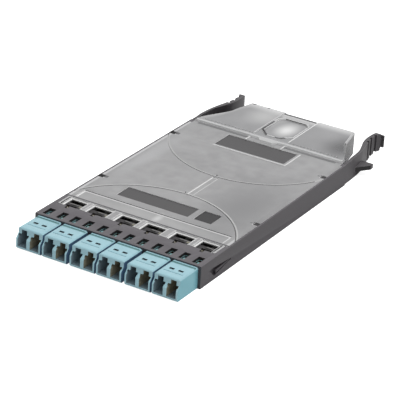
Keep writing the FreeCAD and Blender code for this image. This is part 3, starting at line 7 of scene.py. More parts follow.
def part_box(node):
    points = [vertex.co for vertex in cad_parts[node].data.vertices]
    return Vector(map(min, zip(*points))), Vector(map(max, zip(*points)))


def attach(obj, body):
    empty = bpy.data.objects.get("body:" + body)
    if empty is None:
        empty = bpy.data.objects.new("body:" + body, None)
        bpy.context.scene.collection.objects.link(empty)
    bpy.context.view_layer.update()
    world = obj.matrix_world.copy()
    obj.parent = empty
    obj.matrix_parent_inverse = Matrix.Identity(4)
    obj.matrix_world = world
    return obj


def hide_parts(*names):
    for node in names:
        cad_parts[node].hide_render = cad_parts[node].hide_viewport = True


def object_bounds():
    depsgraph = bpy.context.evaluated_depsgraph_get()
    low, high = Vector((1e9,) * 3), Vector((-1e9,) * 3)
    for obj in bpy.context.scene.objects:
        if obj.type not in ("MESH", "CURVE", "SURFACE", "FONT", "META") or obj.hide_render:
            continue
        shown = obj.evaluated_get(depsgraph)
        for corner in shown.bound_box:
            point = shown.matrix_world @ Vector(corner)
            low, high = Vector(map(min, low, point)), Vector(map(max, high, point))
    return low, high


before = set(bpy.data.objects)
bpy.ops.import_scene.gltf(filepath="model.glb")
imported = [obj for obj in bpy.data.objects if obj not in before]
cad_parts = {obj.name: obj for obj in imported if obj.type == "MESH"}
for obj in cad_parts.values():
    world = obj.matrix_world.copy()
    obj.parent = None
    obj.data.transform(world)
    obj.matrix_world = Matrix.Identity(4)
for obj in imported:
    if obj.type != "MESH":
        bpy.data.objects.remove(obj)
cad_box = [list(corner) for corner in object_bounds()]
MM = 0.001

# Camera: a long lens from in front of the right-hand corner, as the product shot was taken.
# It leans a little, so that the cassette's rails run uphill to the right.
AZIMUTH, ELEVATION, LEAN = (math.radians(turn) for turn in (30.012, 25.569, 3.388))
LOOK_AT = Vector((2.447, -13.667, 5.166)) * MM
CAMERA_DISTANCE = 965.3 * MM
LENS_MM = 197.4
NEAREST_SEEN, FARTHEST_SEEN = 0.01, 20

away = Vector((math.sin(AZIMUTH) * math.cos(ELEVATION), -math.cos(AZIMUTH) * math.cos(ELEVATION),
               math.sin(ELEVATION)))
level = Vector((math.cos(AZIMUTH), math.sin(AZIMUTH), 0))
upward = away.cross(level)
right = level * math.cos(LEAN) + upward * math.sin(LEAN)
up = upward * math.cos(LEAN) - level * math.sin(LEAN)
bpy.ops.object.camera_add()
camera = bpy.context.active_object
camera.name = "photo_camera"
camera.matrix_world = Matrix.Translation(LOOK_AT + away * CAMERA_DISTANCE) @ Matrix(
    (right, up, away)).transposed().to_4x4()
camera.data.lens = LENS_MM
camera.data.clip_start, camera.data.clip_end = NEAREST_SEEN, FARTHEST_SEEN
bpy.context.scene.camera = camera
bpy.context.scene.view_settings.view_transform = "Standard"


# Studio: a pale floor that runs out of view, one large soft lamp overhead, a softer one from
# the front right, and an even pale room that the glossy plastics mirror.
FLOOR_SPREAD, FLOOR_DROP = 6.0, 0.02 * MM
FLOOR_COLOUR, FLOOR_GLOW = (0.82, 0.82, 0.82, 1), 0.85
ROOM_LIGHT = 0.42
LAMPS = (  # place, width, power
    ((0.20, 0.10, 1.10), 0.9, 11.5),
    ((0.72, -0.98, 0.50), 0.8, 1.1),
)


def new_material(name):
    """An empty node material: the material, its tree and its output."""
    material = bpy.data.materials.new(name)
    material.use_nodes = True
    tree = material.node_tree
    tree.nodes.clear()
    return material, tree, tree.nodes.new("ShaderNodeOutputMaterial")


bpy.ops.mesh.primitive_plane_add(size=FLOOR_SPREAD, location=(0, 0, cad_box[0][2] - FLOOR_DROP))
floor = bpy.context.active_object
floor.name = "studio_floor"
floor_paint, tree, output = new_material("floor_paint")
matt = tree.nodes.new("ShaderNodeBsdfDiffuse")
matt.inputs["Color"].default_value = FLOOR_COLOUR
glow = tree.nodes.new("ShaderNodeEmission")
glow.inputs["Strength"].default_value = FLOOR_GLOW
lit = tree.nodes.new("ShaderNodeAddShader")
path = tree.nodes.new("ShaderNodeLightPath")
both = tree.nodes.new("ShaderNodeMixShader")
tree.links.new(matt.outputs[0], lit.inputs[0])
tree.links.new(glow.outputs[0], lit.inputs[1])
tree.links.new(path.outputs["Is Camera Ray"], both.inputs[0])
tree.links.new(matt.outputs[0], both.inputs[1])
tree.links.new(lit.outputs[0], both.inputs[2])
tree.links.new(both.outputs[0], output.inputs["Surface"])
floor.data.materials.append(floor_paint)

# The room is white where the camera, a mirroring or a clear surface looks at it.
room = bpy.data.worlds.new("studio_room")
bpy.context.scene.world = room
room.use_nodes = True
tree = room.node_tree
tree.nodes.clear()
output = tree.nodes.new("ShaderNodeOutputWorld")
room_light = tree.nodes.new("ShaderNodeBackground")
room_light.inputs["Strength"].default_value = ROOM_LIGHT
white = tree.nodes.new("ShaderNodeEmission")
path = tree.nodes.new("ShaderNodeLightPath")
mirrored = tree.nodes.new("ShaderNodeMath")
seen = tree.nodes.new("ShaderNodeMath")
mirrored.operation = seen.operation = "MAXIMUM"
both = tree.nodes.new("ShaderNodeMixShader")
tree.links.new(path.outputs["Is Glossy Ray"], mirrored.inputs[0])
tree.links.new(path.outputs["Is Transmission Ray"], mirrored.inputs[1])
tree.links.new(path.outputs["Is Camera Ray"], seen.inputs[0])
tree.links.new(mirrored.outputs[0], seen.inputs[1])
tree.links.new(seen.outputs[0], both.inputs[0])
tree.links.new(room_light.outputs[0], both.inputs[1])
tree.links.new(white.outputs[0], both.inputs[2])
tree.links.new(both.outputs[0], output.inputs["Surface"])

for place, width, power in LAMPS:
    bpy.ops.object.light_add(type="AREA", location=place)
    lamp = bpy.context.active_object
    lamp.data.size, lamp.data.energy = width, power
    lamp.rotation_euler = (LOOK_AT - Vector(place)).to_track_quat("-Z", "Y").to_euler()


# Tray: the cassette's body, one dark glass-filled moulding with a fine matt grain. The
# toolmaker broke every outer edge by a hair, and a painted highlight on the broken edges shows it
# as a thin light line on the rails' faces. Painted shade darkens the faces inside the tray, and its
# upward top faces are painted lighter, as light falls on them. On the shelf in the front windows
# lie a pale bar, a black latch and a warm scrap.
WELD_GAP, FLAT_BEND, SHARP_BEND = 0.001 * MM, math.radians(0.4), math.radians(25)
EDGE_STEPS = 2
LIT_EDGE = 1  # the second of each piece's finishes is the one for its broken edges, painted lighter as a highlight
GRAIN_SCALE, GRAIN_DEPTH = 5200, 0.02 * MM
GRAIN_DETAIL, DRIFT_DETAIL = 3, 4
DARKEST_AT, PALEST_AT = 0.3, 0.7
WEAR = 0.06
SAME_HEIGHT = 0.02 * MM
# How far a face's normal points along an axis: straight along it, nearly, halfway or leaning.
STRAIGHT, NEARLY, HALFWAY, LEANING = 0.95, 0.9, 0.5, 0.3


def finished_copy(node, name, finishes, edge):
    """A welded copy of a solid with its flat faces made whole and its sharp edges broken."""
    bpy.ops.object.select_all(action="DESELECT")
    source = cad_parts[node]
    source.select_set(True)
    bpy.context.view_layer.objects.active = source
    bpy.ops.object.duplicate()
    piece = bpy.context.active_object
    piece.name = piece.data.name = name
    for key in list(piece.keys()):
        del piece[key]
    piece.parent = None
    piece.data.materials.clear()
    for finish in finishes:
        piece.data.materials.append(finish)
    bpy.ops.object.mode_set(mode="EDIT")
    bpy.ops.mesh.select_all(action="SELECT")
    bpy.ops.mesh.remove_doubles(threshold=WELD_GAP)
    bpy.ops.mesh.dissolve_limited(angle_limit=FLAT_BEND)
    bpy.ops.object.mode_set(mode="OBJECT")
    broken = piece.modifiers.new("broken_edges", "BEVEL")
    broken.width, broken.segments = edge, EDGE_STEPS
    broken.limit_method, broken.angle_limit = "ANGLE", SHARP_BEND
    # The faces of the broken edges take the second finish, a painted highlight.
    broken.material = LIT_EDGE
    bpy.ops.object.modifier_apply(modifier=broken.name)
    bpy.ops.object.shade_smooth_by_angle(angle=SHARP_BEND)
    return piece


def moulded(name, colour, roughness, grain=0.25, mottle=0.06, blotches=90, shine=0.5):
    """Moulded plastic: slow drift in its colour, and a fine grain from the tool's surface."""
    material, tree, output = new_material(name)
    place = tree.nodes.new("ShaderNodeTexCoord")
    drift = tree.nodes.new("ShaderNodeTexNoise")
    drift.inputs["Scale"].default_value = blotches
    drift.inputs["Detail"].default_value = DRIFT_DETAIL
    shades = tree.nodes.new("ShaderNodeValToRGB")
    darkest, palest = shades.color_ramp.elements
    darkest.position, palest.position = DARKEST_AT, PALEST_AT
    darkest.color = [part * (1 - mottle) for part in colour] + [1]
    palest.color = [min(1, part * (1 + mottle)) for part in colour] + [1]
    speckle = tree.nodes.new("ShaderNodeTexNoise")
    speckle.inputs["Scale"].default_value = GRAIN_SCALE
    speckle.inputs["Detail"].default_value = GRAIN_DETAIL
    bump = tree.nodes.new("ShaderNodeBump")
    bump.inputs["Strength"].default_value = grain
    bump.inputs["Distance"].default_value = GRAIN_DEPTH
    wear = tree.nodes.new("ShaderNodeMapRange")
    wear.inputs["To Min"].default_value = roughness - WEAR
    wear.inputs["To Max"].default_value = roughness + WEAR
    shader = tree.nodes.new("ShaderNodeBsdfPrincipled")
    shader.inputs["Specular IOR Level"].default_value = shine
    tree.links.new(place.outputs["Object"], drift.inputs["Vector"])
    tree.links.new(place.outputs["Object"], speckle.inputs["Vector"])
    tree.links.new(drift.outputs["Fac"], shades.inputs["Fac"])
    tree.links.new(shades.outputs["Color"], shader.inputs["Base Color"])
    tree.links.new(drift.outputs["Fac"], wear.inputs["Value"])
    tree.links.new(wear.outputs["Result"], shader.inputs["Roughness"])
    tree.links.new(speckle.outputs["Fac"], bump.inputs["Height"])
    tree.links.new(bump.outputs["Normal"], shader.inputs["Normal"])
    tree.links.new(shader.outputs["BSDF"], output.inputs["Surface"])
    return material


def behind(distance):
    """A place along the rails, from millimetres behind the tray's front edge."""
    return rail_front + distance * MM


def level_with(height):
    """The test for flat faces that look up at one height."""
    return lambda face: face.normal.z > STRAIGHT and abs(face.center.z - height) < SAME_HEIGHT


def choose(piece, wanted):
    """Select the faces that the test wants, and nothing else, for a cut or an inset."""
    bpy.context.tool_settings.mesh_select_mode = (False, False, True)
    bpy.ops.object.select_all(action="DESELECT")
    piece.select_set(True)
    bpy.context.view_layer.objects.active = piece
    bpy.ops.object.mode_set(mode="EDIT")
    bpy.ops.mesh.select_all(action="DESELECT")
    bpy.ops.object.mode_set(mode="OBJECT")
    for face in piece.data.polygons:
        face.select = wanted(face)
    bpy.ops.object.mode_set(mode="EDIT")


def scored(piece, wanted, along=(), across=()):
    """Cut the chosen faces from side to side and then lengthwise, for finishes of their own."""
    cuts = [((0, place, 0), (0, 1, 0)) for place in along]
    cuts += [((place, 0, 0), (1, 0, 0)) for place in across]
    for point, direction in cuts:
        choose(piece, wanted)
        bpy.ops.mesh.bisect(plane_co=point, plane_no=direction)
        bpy.ops.object.mode_set(mode="OBJECT")


tray_plastic = moulded("tray_plastic", (0.046, 0.041, 0.047), 0.46)
tray_edge_highlight = moulded("tray_edge_highlight", (0.16, 0.15, 0.155), 0.38, grain=0.1)
tray_inside_shade = moulded("tray_inside_shade", (0.022, 0.020, 0.022), 0.6, shine=0.35)
tray_top_lit = moulded("tray_top_lit", (0.074, 0.067, 0.076), 0.46)
shelf_bar = moulded("shelf_bar", (0.125, 0.12, 0.12), 0.4)
latch_and_notch_shade = moulded("latch_and_notch_shade", (0.006, 0.006, 0.006), 0.6, shine=0.2)
shelf_scrap = moulded("shelf_scrap", (0.17, 0.16, 0.12), 0.5)
INSIDE_SHADE, LIT_TOP, BAR, LATCH_AND_NOTCH_SHADE, SCRAP = range(2, 7)
tray = finished_copy("tray", "tray_moulding", (tray_plastic, tray_edge_highlight, tray_inside_shade, tray_top_lit,
                                               shelf_bar, latch_and_notch_shade, shelf_scrap),
                     edge=0.12 * MM)

# Places in millimetres: behind the tray's front edge, and beside the middle of an adapter.
LATCH_NEAR, LATCH_FAR, BAR_FAR = 17.3, 18.6, 19.5
LATCH_HALF, SCRAP_LEFT, SCRAP_RIGHT, BAR_HALF = 1.3, 2.8, 4.8, 5.2
RAIL_CATCHES = ((47.2, 49.8), (106.8, 109.4))
CATCH_SIDE, CATCH_DEPTH = -38, 1.5
INNER_HALF, INNER_FRONT, FLOOR_TOP = 39.7, 0.3, 0.9
BRIDGE_REAR, BRIDGE_DEPTH = 11.2, 2.1
TOP_DEPTH, SHELF_DEPTH = 0.2, 1.3
rail_front, rail_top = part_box("tray")[0].y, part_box("tray")[1].z
on_shelf, on_rail = level_with(rail_top - SHELF_DEPTH * MM), level_with(rail_top)
adapter_boxes = [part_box("lc_adapter_%d" % index) for index in range(1, 7)]
adapter_middles = [(low.x + high.x) / 2 for low, high in adapter_boxes]
scored(tray, on_shelf, along=(behind(LATCH_NEAR), behind(LATCH_FAR)))
scored(tray, lambda face: on_rail(face) and face.center.x < 0,
       along=[behind(end) for catch in RAIL_CATCHES for end in catch])
for middle_x in adapter_middles:
    scored(tray, on_shelf, across=[middle_x + side * MM for side in
                                   (-LATCH_HALF, LATCH_HALF, SCRAP_LEFT, SCRAP_RIGHT)])


def tray_finish(face):
    """The finish of one face of the tray, by its place and by where it looks."""
    place, looks_up = face.center, face.normal.z
    along, down = (place.y - rail_front) / MM, (rail_top - place.z) / MM
    if on_shelf(face):
        aside = min((place.x - middle_x for middle_x in adapter_middles), key=abs) / MM
        if LATCH_FAR < along < BAR_FAR and abs(aside) < BAR_HALF:
            return BAR
        if LATCH_NEAR < along < LATCH_FAR and abs(aside) < LATCH_HALF:
            return LATCH_AND_NOTCH_SHADE
        if LATCH_NEAR < along < LATCH_FAR and SCRAP_LEFT < aside < SCRAP_RIGHT:
            return SCRAP
    # The rail's top under the cover's catch notches is painted black as shade.
    if any(start < along < end for start, end in RAIL_CATCHES) \
            and place.x < CATCH_SIDE * MM and down < CATCH_DEPTH and looks_up > -HALFWAY:
        return LATCH_AND_NOTCH_SHADE
    enclosed = abs(place.x) < INNER_HALF * MM and along > INNER_FRONT and place.z > FLOOR_TOP * MM
    on_bridge = down < BRIDGE_DEPTH and looks_up > NEARLY and along < BRIDGE_REAR
    # Painted shade on the faces inside the tray.
    if down > TOP_DEPTH and enclosed and not on_bridge:
        return INSIDE_SHADE
    # The upward top faces are painted lighter, as light falls on them.
    if down <= TOP_DEPTH and looks_up > STRAIGHT:
        return LIT_TOP
    return face.material_index


for face in tray.data.polygons:
    face.material_index = tray_finish(face)
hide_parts("tray")
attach(tray, "cassette")


# Release levers: the same dark plastic as the rails, which carry them, but thinner, with
# rounder edges where fingers squeeze. Their colour is painted darker than the rails' as shade,
# the fins' front faces carry a deeper painted shade, and a patch at the right blade's root paints
# it back to the rail's colour where it springs from the rail. A painted highlight lies on their
# broken edges.
FIN_SHADE = 2
FIN_SIDE, FIN_REAR = 42.2, 146


def painted_light_patch(material, centre, reach, colour, strength, turn=0):
    """A soft patch of painted light, lighter or darker than the surface: its middle and reach are
    in mm, its turn in degrees.
    """
    across, along, height = centre
    tree = material.node_tree
    shader = next(node for node in tree.nodes if node.type == "BSDF_PRINCIPLED")
    base = shader.inputs["Base Color"].links[0].from_socket
    place = tree.nodes.new("ShaderNodeTexCoord")
    stretch = tree.nodes.new("ShaderNodeMapping")
    stretch.vector_type = "TEXTURE"
    stretch.inputs["Location"].default_value = (across * MM, behind(along), height * MM)
    stretch.inputs["Scale"].default_value = [side * MM for side in reach]
    stretch.inputs["Rotation"].default_value = (0, 0, math.radians(turn))
    ball = tree.nodes.new("ShaderNodeTexGradient")
    ball.gradient_type = "SPHERICAL"
    fade = tree.nodes.new("ShaderNodeMapRange")
    fade.interpolation_type = "SMOOTHSTEP"
    fade.inputs["To Max"].default_value = strength
    mix = tree.nodes.new("ShaderNodeMix")
    mix.data_type = "RGBA"
    mix.inputs["B"].default_value = colour + (1,)
    tree.links.new(place.outputs["Object"], stretch.inputs["Vector"])
    tree.links.new(stretch.outputs["Vector"], ball.inputs["Vector"])
    tree.links.new(ball.outputs["Fac"], fade.inputs["Value"])
    tree.links.new(fade.outputs["Result"], mix.inputs["Factor"])
    tree.links.new(base, mix.inputs["A"])
    tree.links.new(mix.outputs["Result"], shader.inputs["Base Color"])


lever_plastic_shaded = moulded("lever_plastic_shaded", (0.034, 0.030, 0.034), 0.44)
lever_edge_highlight = moulded("lever_edge_highlight", (0.15, 0.145, 0.15), 0.36, grain=0.1)
lever_shade = moulded("lever_shade", (0.010, 0.009, 0.010), 0.5, shine=0.3)
painted_light_patch(lever_plastic_shaded, centre=(42, 124, 6), reach=(20, 24, 20),
           colour=(0.052, 0.047, 0.053), strength=1.0)
for side in ("right", "left"):
    node = "release_lever_" + side
    lever = finished_copy(node, "squeeze_lever_" + side,
                          (lever_plastic_shaded, lever_edge_highlight, lever_shade), edge=0.22 * MM)
    for face in lever.data.polygons:
        if abs(face.center.x) > FIN_SIDE * MM and face.normal.y < -LEANING \
                and face.center.y < behind(FIN_REAR):
            face.material_index = FIN_SHADE
    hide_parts(node)
    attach(lever, "lever_" + side)


# Duplex adapters: aqua polyester mouldings with crisp ports and softened outer edges, which
# snap into the tray in three pairs. Little light reaches into the ports, the slots of the latch
# tabs and the narrow gaps between neighbours, so these carry painted shade, warmer on the ports'
# right-hand walls; painted shade also darkens a margin round the slots, the tabs, the sunk faces
# and the outer sides, and a painted highlight lightens the broken edges.
adapter_plastic = moulded("adapter_plastic", (0.31, 0.52, 0.585), 0.34, grain=0.12, mottle=0.03)
adapter_edge_highlight = moulded("adapter_edge_highlight", (0.45, 0.68, 0.74), 0.3, grain=0.05, mottle=0.03)
port_shade = moulded("port_shade", (0.135, 0.19, 0.222), 0.5, grain=0.1, mottle=0.15)
gap_shade = moulded("gap_shade", (0.070, 0.125, 0.21), 0.5, grain=0.1, mottle=0.1)
warm_shade = moulded("warm_shade", (0.172, 0.165, 0.12), 0.5, grain=0.1, mottle=0.3,
                     blotches=400)
slot_shade = moulded("slot_shade", (0.045, 0.08, 0.095), 0.5, grain=0.1, mottle=0.1)
tab_shade = moulded("tab_shade", (0.13, 0.27, 0.28), 0.5, grain=0.1, mottle=0.1)
adapter_side_shade = moulded("adapter_side_shade", (0.20, 0.46, 0.53), 0.36, grain=0.1, mottle=0.03)
SHADED_PORT, SHADED_GAP, WARM_SHADED_PORT, SHADED_SLOT, SHADED_TAB, SHADED_FLANK = range(2, 8)

# Places in millimetres: behind the tray's front edge, beside the adapter's middle, and above
# its underside or under its top.
SLOT_NEAR, SLOT_FAR, SLOT_INNER, SLOT_OUTER, SLOT_DEPTH = -7.8, -6.3, 0.95, 3.35, 1.4
PORT_HALF, PORT_LOW, PORT_HIGH, PORT_END, WARM_LOW = 5.72, 1.1, 8.6, 13, 2
NOSE_LENGTH, NOSE_LEANING, FLANK_SIDE = 2.2, 0.2, 6.1
FLANGE_NEAR, FLANGE_FAR, FLANGE_DEPTH, FLANGE_SUNK = -2.6, -0.7, 0.45, 0.1
SUNK, INNER_NEAR, INNER_FAR = 0.35, 0.5, 14


def adapter_finish(face, low, high, has_neighbour):
    """The finish of one face of an adapter, from the corners of the adapter's box."""
    place, normal = face.center, face.normal
    beside = (place.x - (low.x + high.x) / 2) / MM
    along = (place.y - rail_front) / MM
    above, under = (place.z - low.z) / MM, (high.z - place.z) / MM
    in_port = abs(beside) < PORT_HALF and PORT_LOW < above < PORT_HIGH and along < PORT_END
    on_nose = normal.y < -NOSE_LEANING and place.y < low.y + NOSE_LENGTH * MM
    # Painted shade in the ports, the gaps, the outer sides, the slots and the tabs.
    if in_port and not on_nose:
        return WARM_SHADED_PORT if beside > 0 and above > WARM_LOW else SHADED_PORT
    if abs(normal.x) > NEARLY and abs(beside) > FLANK_SIDE:
        return SHADED_GAP if normal.x > 0 and has_neighbour else SHADED_FLANK
    if under < SLOT_DEPTH and SLOT_INNER < abs(beside) < SLOT_OUTER \
            and SLOT_NEAR < along < SLOT_FAR:
        return SHADED_SLOT
    if normal.z > NEARLY and under > SUNK and along < 0:
        return SHADED_SLOT
    if FLANGE_NEAR < along < FLANGE_FAR and under < FLANGE_DEPTH \
            and (normal.y < -HALFWAY or under > FLANGE_SUNK):
        return SHADED_TAB
    if normal.z > NEARLY and INNER_NEAR < along < INNER_FAR:
        return SHADED_TAB
    return face.material_index


for index, (low, high) in enumerate(adapter_boxes, 1):
    node = "lc_adapter_%d" % index
    adapter = finished_copy(node, "duplex_adapter_%d" % index,
                            (adapter_plastic, adapter_edge_highlight, port_shade, gap_shade, warm_shade,
                             slot_shade, tab_shade, adapter_side_shade), edge=0.16 * MM)
    middle_x = adapter_middles[index - 1]
    scored(adapter, level_with(high.z), along=(behind(SLOT_NEAR), behind(SLOT_FAR)),
           across=[middle_x + side * MM for side in
                   (-SLOT_OUTER, -SLOT_INNER, SLOT_INNER, SLOT_OUTER)])
    for face in adapter.data.polygons:
        face.material_index = adapter_finish(face, low, high, index < len(adapter_boxes))
    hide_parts(node)
    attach(adapter, "cassette")


# Cover: one frosted polycarbonate moulding that snaps over the tray, clearer over the tail and
# round its skirt. Every step in it has a bright line of painted highlight, with painted shade in
# the dark lines beside it, and what lies under it shows as a soft shade.
POLYCARBONATE_IOR = 1.58


def frosted(name, colour, roughness, density, cloud=0.05, blotches=90):
    """See-through plastic: its density is the share of light that stays on the surface."""
    material = moulded(name, colour, roughness, grain=0.1, mottle=cloud, blotches=blotches)
    shader = next(node for node in material.node_tree.nodes if node.type == "BSDF_PRINCIPLED")
    shader.inputs["Alpha"].default_value = density
    shader.inputs["IOR"].default_value = POLYCARBONATE_IOR
    return material


def painted_gleam_ring(material, centre, radius, width, colour):
    """A fine line of painted highlight along a circle centred on the middle line, all in mm."""
    tree = material.node_tree
    shader = next(node for node in tree.nodes if node.type == "BSDF_PRINCIPLED")
    base = shader.inputs["Base Color"].links[0].from_socket
    place = tree.nodes.new("ShaderNodeTexCoord")
    flat = tree.nodes.new("ShaderNodeVectorMath")
    flat.operation = "MULTIPLY"
    flat.inputs[1].default_value = (1, 1, 0)
    reach = tree.nodes.new("ShaderNodeVectorMath")
    reach.operation = "DISTANCE"
    reach.inputs[1].default_value = (0, behind(centre), 0)
    near = tree.nodes.new("ShaderNodeMath")
    near.operation = "COMPARE"
    near.inputs[1].default_value = radius * MM
    near.inputs[2].default_value = width * MM / 2
    mix = tree.nodes.new("ShaderNodeMix")
    mix.data_type = "RGBA"
    mix.inputs["B"].default_value = colour + (1,)
    tree.links.new(place.outputs["Object"], flat.inputs[0])
    tree.links.new(flat.outputs["Vector"], reach.inputs[0])
    tree.links.new(reach.outputs["Value"], near.inputs[0])
    tree.links.new(near.outputs["Value"], mix.inputs["Factor"])
    tree.links.new(base, mix.inputs["A"])
    tree.links.new(mix.outputs["Result"], shader.inputs["Base Color"])


def framed(piece, wanted, width, finish):
    """A band of another finish, so many millimetres wide, inside the edges of chosen faces."""
    choose(piece, wanted)
    bpy.ops.mesh.inset(thickness=width * MM, use_select_inset=True)
    bpy.ops.object.mode_set(mode="OBJECT")
    for face in piece.data.polygons:
        if face.select:
            face.material_index = finish


# Beside the lid's own tones, these finishes paint light: edge and rim highlights, lines of hard and
# soft shade, and the small dark pane's colour, which also paints shade in the catches and on the
# ring round the dish.
frosted_lid = frosted("frosted_lid", (0.335, 0.333, 0.338), 0.38, 0.85, cloud=0.10, blotches=170)
cover_edge_highlight = frosted("cover_edge_highlight", (0.72, 0.72, 0.72), 0.2, 0.95)
clear_tail = frosted("clear_tail", (0.335, 0.335, 0.342), 0.16, 0.80)
clear_skirt = frosted("clear_skirt", (0.075, 0.075, 0.08), 0.2, 0.9)
smoked_pane = moulded("smoked_pane", (0.032, 0.030, 0.032), 0.4)
lid_painted_shade = moulded("lid_painted_shade", (0.075, 0.075, 0.08), 0.4)
dark_pane_and_painted_shade = moulded("dark_pane_and_painted_shade", (0.024, 0.023, 0.025), 0.45, shine=0.25)
rim_painted_highlight = frosted("rim_painted_highlight", (0.50, 0.50, 0.505), 0.3, 0.92)
soft_painted_shade = frosted("soft_painted_shade", (0.145, 0.145, 0.148), 0.38, 0.92)
LID, EDGE_HIGHLIGHT, TAIL, SKIRT, PANE, SHADE_LINE, DARK_PANE_AND_SHADE, RIM_HIGHLIGHT, SOFT_SHADE_LINE = range(9)
cover = finished_copy("cover", "frosted_cover",
                      (frosted_lid, cover_edge_highlight, clear_tail, clear_skirt, smoked_pane, lid_painted_shade,
                       dark_pane_and_painted_shade, rim_painted_highlight, soft_painted_shade), edge=0.13 * MM)

# Places in millimetres: along the cover from the tray's front edge, across it from the centre
# line, and down from the lid's top, which is level with the rails. The tail stands above it.
LID_FRONT, FRONT_LINE_START, FRONT_LINE_END = 22.4, 22.45, 23.55
BAND_WALL_START, BAND_WALL_END = 31, 34
ARC_WALLS, ARC_EDGES, EDGE_RISE = (34, 105, 39), (32, 105, 40), 0.05
SHADE_START, SHADE_END, BEAD_END = 124.1, 125.6, 127.8
LID_SIDE, CATCH_OUTER, CATCH_INNER, BEYOND = 39.35, 38.0, 36.6, 200
COVER_CATCHES = ((46.9, 47.7, 48.7, 49.6), (106.6, 107.4, 108.4, 109.4))
CHANNEL_INNER, CHANNEL_OUTER, CHANNEL_DEPTH = 9.0, 9.6, 0.4
REAR_STRIP, PORT_STRIP = 158.3, 157.6
REAR_MARKS = ((-26.8, -24.8), (-18.6, -17.2))
SKIRT_DEPTH, SKIRT_SIDE, SKIRT_FACING = 0.9, 27, 0.85
TAIL_WALLS_START, STEP_WALLS_END, TAIL_EDGE_SIDE = 128, 130, 28
BEND_SIDE, BEND_END = 20, 146
PANE_HIGH, PANE_LOW = 0.2, 0.5
PANEL_DEPTH, STRAP_DEPTH, PIP_HEIGHT = 0.45, 0.25, 0.25
DISH_HALF, DISH_FRONT, DISH_REAR, DISH_LEFT = 8.7, 131, 154.5, -3
RING_HEIGHT, RING_TURN_RIGHT, RING_TURN_LEFT = 0.75, 1, -3.2
RING_SHADE_RIGHT, RING_SHADE_LEFT = 133.4, 147.5
lid_top, tail_top = rail_top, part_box("cover")[1].z
tail_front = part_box("release_lever_right")[0].y
on_lid, on_tail = level_with(lid_top), level_with(tail_top)
on_channel = level_with(tail_top - CHANNEL_DEPTH * MM)
on_ring, on_pip = level_with(lid_top + RING_HEIGHT * MM), level_with(lid_top + PIP_HEIGHT * MM)
on_strap, on_panel = level_with(lid_top - STRAP_DEPTH * MM), level_with(lid_top - PANEL_DEPTH * MM)

scored(cover, on_lid, along=[behind(line) for line in
                             (FRONT_LINE_START, FRONT_LINE_END, SHADE_START, SHADE_END)],
       across=(-LID_SIDE * MM, LID_SIDE * MM))
scored(cover, on_lid, along=[behind(line) for catch in COVER_CATCHES for line in catch],
       across=[line * MM for line in (-CATCH_OUTER, -CATCH_INNER, CATCH_INNER, CATCH_OUTER)])
scored(cover, on_tail, across=(-CHANNEL_OUTER * MM, CHANNEL_OUTER * MM))
scored(cover, on_tail, along=(behind(BEAD_END), behind(REAR_STRIP)))
scored(cover, lambda face: on_tail(face) and face.center.y > behind(REAR_STRIP),
       across=[line * MM for mark in REAR_MARKS for line in mark])
scored(cover, on_channel, along=(behind(PORT_STRIP),))

# Marks on the lid and its sunk panes: left, right, near and far side, and finish. The panes
# have their own colours; the lid's marks are painted shade and painted highlights.
PANES = (
    (-24.0, 12.4, 36.2, 45.9, PANE),
    (15.2, 24.0, 36.2, 45.9, DARK_PANE_AND_SHADE),
    (-18.3, 18.3, 109.2, 122.4, PANE),
)
LID_MARKS = [
    (-BEYOND, BEYOND, LID_FRONT, FRONT_LINE_END, SHADE_LINE),
    (-BEYOND, -LID_SIDE, FRONT_LINE_END, BEYOND, RIM_HIGHLIGHT),
    (LID_SIDE, BEYOND, FRONT_LINE_END, BAND_WALL_END, RIM_HIGHLIGHT),
    (-37, -9.5, SHADE_START, SHADE_END, SOFT_SHADE_LINE),
    (9.5, 37, SHADE_START, SHADE_END, SOFT_SHADE_LINE),
]
for lead_in, start, midway, end in COVER_CATCHES:
    LID_MARKS += [
        (-LID_SIDE, -CATCH_OUTER, lead_in, start, EDGE_HIGHLIGHT),
        (-LID_SIDE, -CATCH_OUTER, start, end, DARK_PANE_AND_SHADE),
        (-CATCH_OUTER, -CATCH_INNER, start, end, SHADE_LINE),
        (CATCH_OUTER, LID_SIDE, lead_in, start, EDGE_HIGHLIGHT),
        (CATCH_INNER, LID_SIDE, start, midway, SOFT_SHADE_LINE),
        (CATCH_OUTER, LID_SIDE, midway, end, DARK_PANE_AND_SHADE),
    ]
# The right-hand skirt has bands of painted shade and painted highlight at its bends, each up to
# a place along it.
RIGHT_SKIRT = ((127.5, SHADE_LINE), (129, RIM_HIGHLIGHT), (144.5, SHADE_LINE), (BEND_END, RIM_HIGHLIGHT), (BEYOND, SKIRT))


def marked(marks, across, along, plain):
    """The finish of the mark that holds a place, or else the plain one."""
    for left, right, near, far, finish in marks:
        if left < across < right and near < along < far:
            return finish
    return plain


def on_arcs(limits, across, along):
    """Whether a place lies where the lid has its two curved grooves."""
    start, end, half = limits
    return start < along < end and abs(across) < half


def wall_finish(normal, across, along, in_tail):
    """The finish of the cover's walls and slopes, with painted shade and highlights: front band,
    dish, step, tail and grooves.
    """
    if BAND_WALL_START < along < BAND_WALL_END:
        return SOFT_SHADE_LINE
    if abs(across) < DISH_HALF and DISH_FRONT < along < DISH_REAR:
        return EDGE_HIGHLIGHT if across < DISH_LEFT and normal.x > LEANING else SOFT_SHADE_LINE
    if in_tail and along < STEP_WALLS_END and normal.y >= -LEANING:
        return TAIL
    if in_tail and along > TAIL_WALLS_START:
        in_bend = across > BEND_SIDE and along < BEND_END and abs(normal.x) > LEANING
        return SHADE_LINE if in_bend else RIM_HIGHLIGHT
    return SHADE_LINE if on_arcs(ARC_WALLS, across, along) and normal.y < -LEANING else EDGE_HIGHLIGHT


